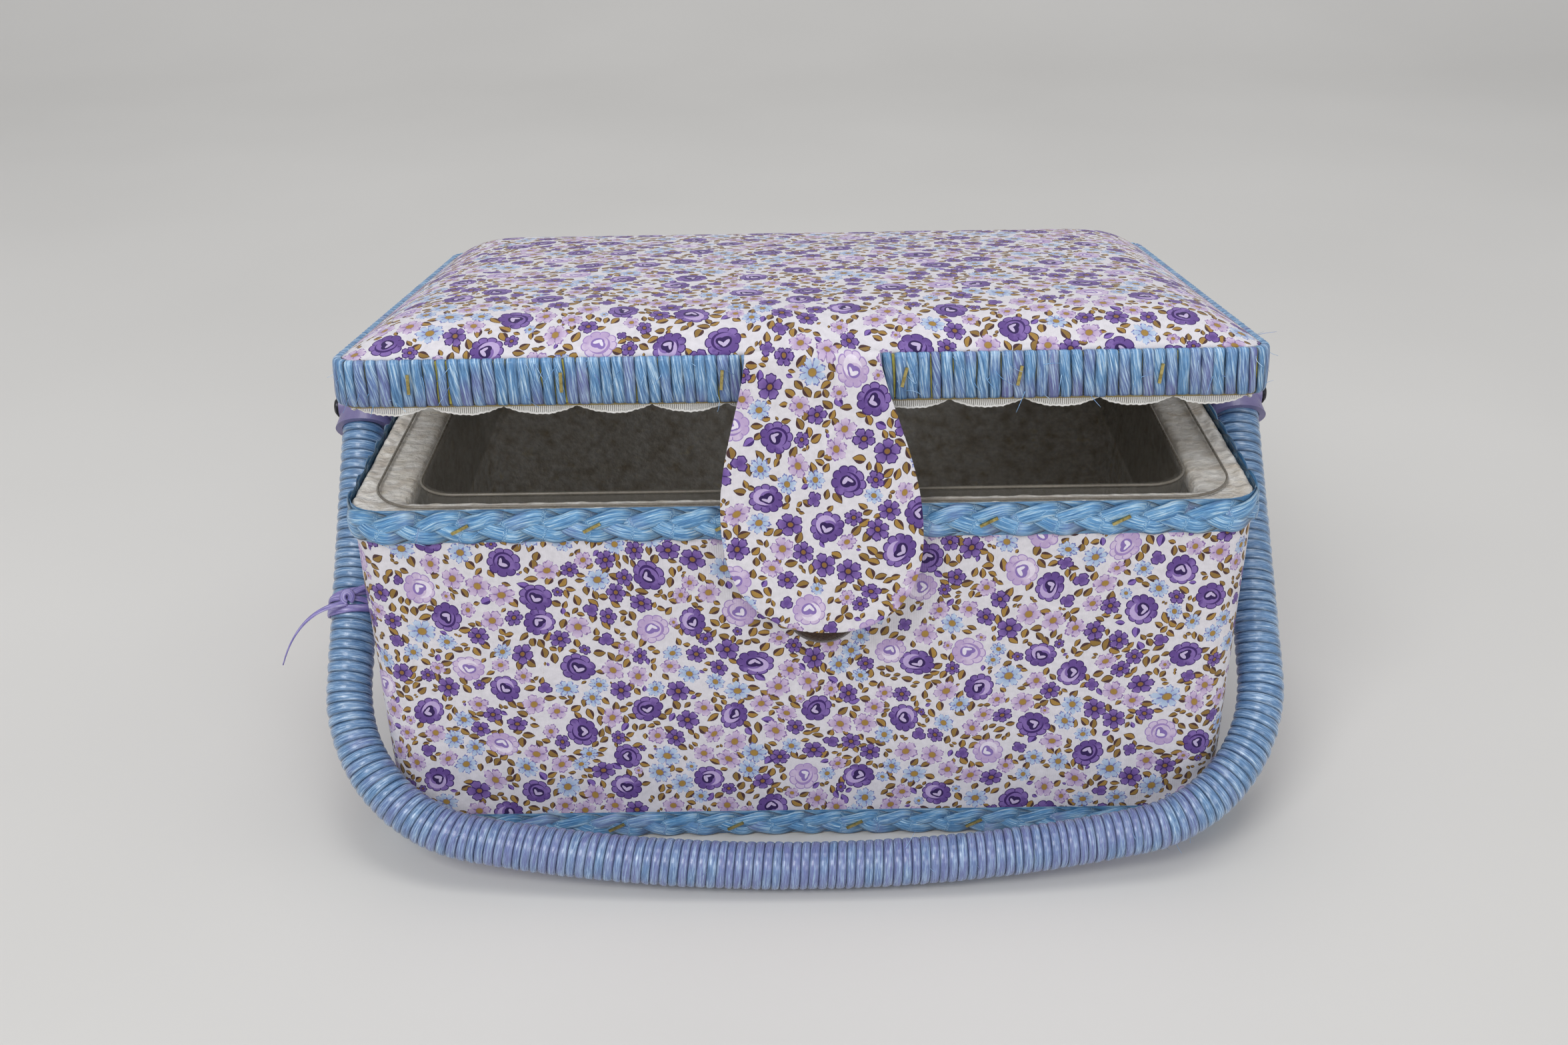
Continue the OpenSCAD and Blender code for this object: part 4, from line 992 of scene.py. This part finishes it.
def rim_turns():
    """Raffia wound turn by turn round the lid's hoop"""
    piece = Piece()
    pitch = LID_LOOP / RIM_TURNS
    section = np.array([  # inset, height, the outward direction there, and how far a turn swells
        (3.15, 14.6, 0, 1, 0.25), (2.3, 14.66, 0, 1, 0.55), (1.7, 14.6, -0.35, 0.93, 0.6),
        (1.3, 14.3, -0.75, 0.65, 0.75), (1.14, 13.6, -0.97, 0.2, 0.85), (1.12, 12.2, -1, 0, 0.9),
        (1.12, 10.4, -1, 0, 0.95), (1.12, 8.4, -1, 0, 0.95), (1.12, 6.4, -1, 0, 0.95),
        (1.12, 4.4, -1, 0, 0.95), (1.12, 2.8, -1, 0, 0.9), (1.16, 1.3, -0.95, -0.3, 0.8),
        (1.4, 0.45, -0.65, -0.75, 0.65), (1.9, 0.1, 0, -1, 0.45), (3.1, 0.0, 0, -1, 0.3)])
    inset, high, out_x, out_z, swell = section.T[:, :, None]
    across = np.sin(np.linspace(-1, 1, 11) * math.pi / 2)
    rows, cols = len(section), len(across)
    run = np.concatenate([[0], np.cumsum(np.hypot(*np.diff(section[:, :2], axis=0).T))])[:, None]
    gaps = set(rng.choice(RIM_TURNS, RIM_GAPS, replace=False).tolist())
    for k in range(RIM_TURNS):
        half = pitch * (0.41 if k in gaps else 0.52 + 0.03 * rng.random())
        slant = 0.35 + 0.13 * rng.normal()
        wander = 0.1 * np.sin(run / 14 * TURN + rng.random() * TURN)
        pinch = 1 - 0.07 * np.clip(np.sin(run / 15 * TURN + rng.random() * TURN), 0, 1)
        s = ((k + 0.5) * pitch + 0.12 * rng.normal() + across * half * pinch
             + slant * (run / run[-1] * 2 - 1) + wander)
        crest = np.sqrt(np.clip(1 - across ** 2, 0, 1)) ** 0.8
        split = np.sin(across * (6 + 4 * rng.random()) + run * (0.5 + 0.3 * rng.normal())
                       + rng.random() * 9)
        lift = swell * crest * (0.86 + 0.1 * rng.random() + 0.1 * split) + 0.03 * (k % 2)
        ragged = np.where(run > run[-1] - 2.5, 0.35 * rng.random(), 0)
        points = on_rim(s.ravel(), (high + out_z * lift + ragged).ravel(),
                        (inset + out_x * lift).ravel())
        skew = 0.16 + 0.08 * rng.normal()
        grain = xyz(np.repeat(run + 40 * rng.random(), cols), (across * half - skew * run).ravel(), k)
        # Painted light and shade: each turn darkens towards its edges, where the grooves between turns
        # lie, and from the lid's top down towards its lower edge
        shade = 1.22 - 0.85 * np.abs(across) ** 4 - 0.022 * run + 0.08 * split * crest
        tone = 0.36 + 0.2 * rng.random() + 0.012 * run + 0 * across
        piece.add(points, grid_faces(rows, cols)[:, ::-1], grain, tone.ravel(), shade.ravel())
    piece.make("rim_raffia", "lid", raffia_rim, ["rim_winding"], in_lid)


rim_turns()


def crown(e):
    """Height of the padded top at distance e in from its edge"""
    steep, gentle = np.minimum(e, 30) / 30, np.minimum(e, 80) / 80
    return CLOTH_CROWN * (0.8 * (1 - (1 - steep) ** 3) + 0.2 * gentle)


def lid_cover():
    """Printed cotton drawn over the padded top, which it crowns"""
    w, d, r = LID_W - 2 * SKIRT_INSET - 0.1, LID_D - 2 * SKIRT_INSET - 0.1, LID_R - SKIRT_INSET
    nx, ny = 150, 108
    x, y, e = rounded_grid(w, d, r, nx, ny)
    height = crown(e).reshape(ny, nx)
    for _ in range(60):
        inner = (height[:-2, 1:-1] + height[2:, 1:-1] + height[1:-1, :-2] + height[1:-1, 2:]) / 4
        height[1:-1, 1:-1] = height[1:-1, 1:-1] * 0.5 + inner * 0.5
    height = height.ravel()
    drape = 0.35 * ripple(x, y, 4.0) * np.clip(e / 20, 0, 1)
    top = xyz(x, y, PANEL_TOP + 2.25) + xyz(0, 0, height + drape)
    piece = Piece()
    piece.add(*pillow(nx, ny, top, xyz(x, y, PANEL_TOP + 0.1), xyz(x, y, 0.0)))
    made = piece.make("lid_cover_cloth", "lid", floral, ["lid_cover", "lid_pad"], in_lid)


lid_cover()


def lid_underside():
    """Quilted lining under the lid"""
    inset = LACE_INSET + 0.75
    nx, ny = 110, 78
    x, y, e = rounded_grid(LID_W - 2 * inset, LID_D - 2 * inset, 4.0, nx, ny)
    drop = 4.2 * (1 - np.exp(-e / 5)) + 0.3 * (1 - np.exp(-e / 40))
    flat = xyz(x, y, PANEL_TOP - 2.5 - 0.05)
    bumps = lumps(flat, 0.13, 6.0) * np.clip(e / 8, 0, 1)
    low = flat - xyz(0, 0, 0.1 + drop - 0.8 * bumps)
    piece = Piece()
    points, faces, marks = pillow(nx, ny, low, flat, xyz(x, y, 0.0))
    piece.add(points, faces[:, ::-1], marks, shade=UNSTAINED_UNSHADED)
    made = piece.make("lid_lining_cloth", "lid", lining, ["lid_lining"], in_lid)


lid_underside()


def lace():
    """Crocheted edging: upright threads between a heading and a scalloped edge"""
    piece = Piece()
    inset = LACE_INSET - 0.35
    w, d, r = LID_W - 2 * inset, LID_D - 2 * inset, LID_R - inset
    around = loop_length(w, d, r)
    pitch = around / round(around / SCALLOP_PITCH)

    def edge(s):
        f = np.mod(s / pitch, 1)
        return SCALLOP_LOW + SCALLOP_DEEP * np.abs(2 * f - 1) ** 2

    def wire(s, z, out, radius, number):
        place, normal = Loop(w, d, r, s).at(w, d, r)
        path = xyz(*(place + normal * out[:, None]).T, z)
        outward = xyz(*normal.T, 0.0)
        side = unit(np.cross(unit(np.gradient(path, axis=0)), outward))
        piece.add(*tube(path, side, outward, radius, radius, 6, number))

    count = int(around / THREAD_PITCH)
    for k in range(count):
        s0 = k * around / count
        s = s0 + np.array([0, 0.12, -0.1, 0.1, 0.0])
        z = np.linspace(3.6, edge(np.array([s0]))[0] + 0.2, 5)
        wire(s, z, 0.12 * np.array([0, 1, -1, 1, 0.0]) + 0.02 * rng.normal(), 0.27, k)
    for level, radius in ((3.4, 0.3), (1.2, 0.24), (-0.6, 0.28)):
        s = np.linspace(0, around, 620)
        wire(s, level + 0.12 * np.sin(s * 6.6), 0.1 * np.cos(s * 6.6), radius, level)
    s = np.linspace(0, around, 2600)
    low = (edge(s) + 0.25 * np.abs(np.sin(s * math.pi / 1.9))
           + 0.15 * np.sin(s * 0.9) * np.sin(s * 0.37))
    wire(s, low, 0.05 * np.cos(s * 3), 0.36, 900)
    piece.make("crochet_edging", "lid", cotton_thread, ["lid_lace"], in_lid)


lace()


# Flap

widest_at = 0.6 * FLAP_LEN


def flap_half(t):
    """Half the flap's width at distance t from its fold"""
    widening = np.sin(np.clip(t / widest_at, 0, 1) * math.pi / 2) ** 1.4
    narrowing = np.clip((t - widest_at) / (FLAP_LEN - widest_at), 0, 1) ** 2.5
    early = (FLAP_TOP_W + (FLAP_MAX_W - FLAP_TOP_W) * widening) / 2
    late = FLAP_MAX_W / 2 * np.clip(1 - narrowing, 0, 1) ** 0.45
    return np.where(t <= widest_at, early, late)


def flap_cloth():
    """One stiffened piece of printed cotton from the lid's edge, over the fold, to the tip"""
    fold = FOLD_R
    back = LID_BACK - LID_D / 2 + FLAP_SEWN - FOLD_Y
    run = np.concatenate([np.linspace(-back, -fold, 6), fold * np.linspace(-1, 1, 9)[1:-1],
                          fold + (FLAP_LEN - fold) * np.sin(np.linspace(0, 1, 46) * math.pi / 2)])
    run = np.unique(np.round(run, 5))
    run = run[run < FLAP_LEN - 0.02]
    half = flap_half(np.clip(run, 0, None))
    across = np.sin(np.linspace(-1, 1, 41) * math.pi / 2)
    arc = np.clip((run + fold) / (2 * fold), 0, 1) * math.pi / 2
    radius = 2 * fold / (math.pi / 2)
    tucked = np.clip(-run - fold, 0, None)
    mid_y = np.where(run < -fold, tucked, -radius * np.sin(arc))
    mid_z = np.where(run < -fold, -0.27 * tucked, -radius * (1 - np.cos(arc)))
    mid_z = np.where(run > fold, -radius - (run - fold), mid_z)
    normal = np.stack([-np.sin(arc), np.cos(arc)], -1)
    rows, cols = len(run), len(across)
    edge = np.minimum(half[:, None] * (1 - np.abs(across))[None], (FLAP_LEN - run)[:, None] * 0.9)
    thick = 0.55 + 0.62 * (1 - np.exp(-np.clip(edge, 0, None) / 2.4)) * np.exp(-tucked / 3)[:, None]
    thick = thick - 0.16 * np.exp(-((edge - 3.2) / 0.5) ** 2)
    flat_x, flat_y = (across[None] * half[:, None]).ravel(), np.repeat(run, cols)
    wave = ripple(flat_x, flat_y, 2.0, 0.05, 0.045).reshape(rows, cols)
    press = ripple(flat_x, flat_y, 7.0, 0.3, 0.3).reshape(rows, cols) * np.exp(-edge / 3.0)
    held = np.clip((run - 4) / 25, 0, 1)[:, None]
    offset = wave * 0.7 * held + press * 0.35 * held
    middle = FLAP_X + FLAP_SKEW * np.clip(run, 0, None) / FLAP_LEN
    x = middle[:, None] + across[None] * half[:, None]
    faces_of_cloth = []
    for sign in (1, -1):
        away = offset + sign * thick
        y = FOLD_Y - 0.35 + radius + mid_y[:, None] + normal[:, 0][:, None] * away
        z = FOLD_Z + 0.25 + mid_z[:, None] + normal[:, 1][:, None] * away
        faces_of_cloth.append(xyz(x, y, z).reshape(-1, 3))
    grain = xyz(x, -run[:, None] - LID_D / 2 + FLAP_SEWN, 0.0).reshape(-1, 3)
    piece = Piece()
    n = rows * cols
    front = grid_faces(rows, cols)
    ring = border(cols, rows)
    side = np.stack([ring, np.roll(ring, -1), np.roll(ring, -1) + n, ring + n], -1)
    piece.add(np.concatenate(faces_of_cloth), np.concatenate([front[:, ::-1], front + n, side]),
              np.concatenate([grain, grain]))
    made = piece.make("flap_cloth", "lid", floral, ["flap", "flap_root"], on_lid)
    made.parent = None
    made.matrix_world = Matrix.Identity(4)
    start, end = on_lid(np.array([[0, FOLD_Y + 1.6, FOLD_Z + 1.6], [0, FOLD_Y - 1.6, FOLD_Z - 1.6]]))
    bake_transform(made)


flap_cloth()


# Handle

def winding():
    """Satin ribbon wound round the handle, each turn rounded; the turns lie closer on the bar"""
    end = half_len - SOCKET_END + 5.5
    bounds = [-end]
    while bounds[-1] < end:
        tight = np.clip((205 - abs(bounds[-1])) / 70, 0, 1)
        bounds.append(bounds[-1] + LEG_PITCH - BAR_PITCH_LESS * tight)
    turns = len(bounds) - 2
    bounds = -end + (np.array(bounds) + end) * 2 * end / (bounds[-1] + end)
    bounds[1:-1] += 0.22 * rng.normal(size=turns)
    steps = 26
    rows = turns * steps + 1
    number = np.arange(rows) / steps

    def between(at, values):
        return np.interp(at, np.arange(turns + 2), values)[:, None]

    low, high = between(number, bounds), between(number + 1, bounds)
    v = 0.5 - 0.5 * np.cos(np.linspace(0, math.pi, 9))
    across = 2 * v - 1
    u = low + (high - low) * v
    tall = between(number, 0.06 * rng.normal(size=turns + 2))
    lean = between(number, 0.25 * rng.normal(size=turns + 2))
    crest = np.sqrt(np.clip(1 - across ** 2, 0, 1)) * (1 + lean * across)
    radius = np.minimum(ROD_R - 0.74 + (0.7 + tall) * crest, ROD_R + 0.04)
    points = rod_points(u.ravel(), radius.ravel(), np.repeat(-np.arange(rows) * TURN / steps, len(v)))
    grain = xyz(np.repeat(number * 51.5, len(v)), (across * (high - low) / 2).ravel(),
                np.repeat(number * 0.12, len(v)))
    reach = np.abs(u.ravel()) / half_len
    tone = 0.26 + 0.5 * np.clip((0.66 - reach) / 0.3, 0, 1)
    # Painted shade: each turn darkens towards its edges, where the grooves between turns lie
    shade = np.tile(1.05 - 0.7 * np.abs(across) ** 5, rows)
    piece = Piece()
    piece.add(points, grid_faces(rows, len(v)), grain, tone, shade)
    piece.make("handle_raffia", "handle", raffia_handle, ["handle_winding"],
               on_handle)


winding()


def leg_points(t, radius, turn):
    """Points round the left leg at distance t down from its pivot"""
    return rod_points(-(half_len - t), radius, turn)


def tie():
    """Raffia ribbon tied round the left leg, with two loose ends"""
    piece = Piece()

    def ribbon(t, radius, turn, width, number):
        path = leg_points(t, radius, turn)
        ahead = unit(np.gradient(path, axis=0))
        out = path - leg_points(t, 0 * radius, turn)
        out = unit(out - ahead * (out * ahead).sum(1)[:, None])
        height = np.minimum(0.42, width * 0.5)
        piece.add(*tube(path, np.cross(ahead, out), out, width, height, 8, number))

    a = np.linspace(0, TURN, 40)
    for k, (shift, slant, wide) in enumerate([(-2.3, 1.4, 1.5), (0.2, -1.2, 1.3), (2.4, 1.8, 1.5),
                                              (0.8, 2.6, 1.1)]):
        ribbon(TIE_AT + shift + slant * np.cos(a + k), ROD_R + 0.55 + 0.12 * k + 0 * a,
               a + 0.4 * k, wide + 0.2 * np.sin(3 * a), k)
    a = np.linspace(0, TURN * 0.9, 30)
    knot = -math.pi / 2
    ribbon(TIE_AT + 1.9 * np.cos(a), ROD_R + 1.3 + np.sin(a * 0.5), knot + 0.16 * np.sin(a),
           1.3 + 0 * a, 8)
    q = np.linspace(0, 1, 22)
    ribbon(TIE_AT + 2 + 4 * q + 16 * q ** 3, ROD_R + 1.0 + 15 * q ** 1.3, knot + 1.5 * q,
           1.4 - 0.9 * q, 9)
    ribbon(TIE_AT - 1 - 9 * q - 3 * q * q, ROD_R + 1.0 + 5 * q ** 1.2, knot - 1.9 * q,
           1.3 - 0.9 * q, 10)
    piece.make("tie_raffia", "handle", raffia_tie, ["handle_tie"], on_handle)


tie()


def fibre(piece, start, ahead, outward, length, number):
    """Loose raffia fibre that leaves its strand and bends outward"""
    q = np.linspace(0, 1, 6)[:, None]
    sway = rng.normal(size=3) * 0.25
    bend = 0.35 + 0.5 * rng.random()
    path = start + length * (q * ahead + q * q * (bend * outward + sway))
    step = unit(np.gradient(path, axis=0))
    side = unit(np.cross(step, outward))
    wide = 0.13 * (1 - 0.6 * q[:, 0])
    # Painted light: the shade mark of 1.5 draws each loose fibre lighter than its material's colour
    piece.add(*tube(path, side, np.cross(side, step), wide, wide * 0.6, 4, number), 0.5, 1.5)


def spot_on(surface, at, low, high):
    """A place on a surface at distance at, with the directions ahead and outward there"""
    spot = surface(np.array([at, at + 1.0, at]), np.array([low, low, high]))
    return spot[0], spot[1] - spot[0], spot[2] - spot[0]


def fray():
    """Loose fibres on the lid's rim, the upper plait and the handle's bar"""
    piece = Piece()
    for k, s in enumerate(np.sort(rng.uniform(-190, 190, RIM_FRAY))):
        high = np.full(3, rng.uniform(0.6, 14))
        start, ahead, outward = spot_on(lambda s, inset: on_rim(s, high, inset), s, 0.25, -0.75)
        down = np.array([0, 0, -1.0])
        lean = rng.normal() * 0.5
        hangs = rng.random() < 0.75
        direction = 0.9 * down + lean * ahead if hangs else lean * ahead - 0.4 * down
        fibre(piece, start, direction, outward, rng.uniform(2.5, 6), k)
    piece.make("rim_fibres", "lid", raffia_rim, place=in_lid)

    piece = Piece()
    for k, s in enumerate(np.sort(rng.uniform(-150, 150, PLAIT_FRAY))):
        high = np.full(3, BODY_H - rng.uniform(1.5, RIM_BRAID_H - 1))
        start, ahead, outward = spot_on(lambda s, out: on_wall(s, high, out), s, 1.6, 2.6)
        rise = np.array([0, 0, rng.normal() * 0.3 - 0.2])
        direction = np.sign(rng.normal()) * ahead + rise
        fibre(piece, start, direction, 0.5 * outward, rng.uniform(2.5, 6), k)
    piece.make("plait_fibres", "box", raffia_plait)

    piece = Piece()
    for k, u in enumerate(np.sort(rng.uniform(-140, 140, BAR_FRAY))):
        turn = np.full(3, rng.uniform(0, TURN))
        start, ahead, outward = spot_on(lambda u, radius: rod_points(u, radius, turn), u,
                                        ROD_R - 0.3, ROD_R + 0.7)
        if on_handle((start + outward * 4)[None])[0, 2] > 4:
            direction = np.cross(outward, ahead) + 0.5 * rng.normal() * ahead
            fibre(piece, start, direction, 0.7 * outward, rng.uniform(2, 5), k)
    piece.make("bar_fibres", "handle", raffia_handle, place=on_handle)


fray()


# Stage and light

def stage():
    """Floor that bends up into a backdrop, in metres"""
    cols, rows = 40, 60
    front, flat, bend, radius = -2.4, 3.6, 1.1, 0.7
    run = np.linspace(0, 6.2, rows)
    turn = (run - flat) / bend
    y = np.where(run < flat, run + front, 1.2 + radius * np.sin(np.clip(turn, 0, math.pi / 2)))
    z = np.where(run < flat, 0, np.where(turn < math.pi / 2, radius * (1 - np.cos(turn)),
                                         radius + run - 5.33))
    x, y = np.meshgrid(np.linspace(-3, 3, cols), y)
    points = xyz(x.ravel(), y.ravel(), np.repeat(z, cols) - 0.0002)
    sh = Shader("studio_paper", Roughness=0.9, Specular_IOR_Level=0.1)
    sh.set(Base_Color=sh.ramp(sh.cloud(3.0), (0.3, "#d9d7d3"), (0.7, "#dedcd8")))
    mesh = bpy.data.meshes.new("stage_floor")
    mesh.from_pydata(points.tolist(), [], grid_faces(rows, cols).tolist())
    mesh.materials.append(sh.material)
    mesh.polygons.foreach_set("use_smooth", [True] * len(mesh.polygons))
    floor = bpy.data.objects.new("stage_floor", mesh)
    bpy.context.scene.collection.objects.link(floor)


stage()


def area_light(name, place, target, size, power):
    """Soft lamp at a place that faces a target"""
    data = bpy.data.lights.new(name, "AREA")
    data.shape = "RECTANGLE"
    data.size, data.size_y = size
    data.energy = power
    lamp = bpy.data.objects.new(name, data)
    bpy.context.scene.collection.objects.link(lamp)
    lamp.location = place
    lamp.rotation_euler = (Vector(target) - Vector(place)).to_track_quat("-Z", "Y").to_euler()


area_light("key", (-0.8, -1.5, 1.75), (0, 0, 0.08), (0.9, 0.9), 18)
area_light("fill", (1.0, -1.9, 0.9), (0, 0, 0.1), (1.2, 0.8), 8)
area_light("top", (0.1, 0.1, 2.2), (0, 0, 0), (1.4, 0.9), 12)

world = bpy.data.worlds.new("studio")
world.use_nodes = True
background = world.node_tree.nodes["Background"].inputs
background["Color"].default_value = (0.93, 0.95, 1.0, 1)
background["Strength"].default_value = 0.45
bpy.context.scene.world = world
bpy.context.scene.view_settings.view_transform = "Standard"
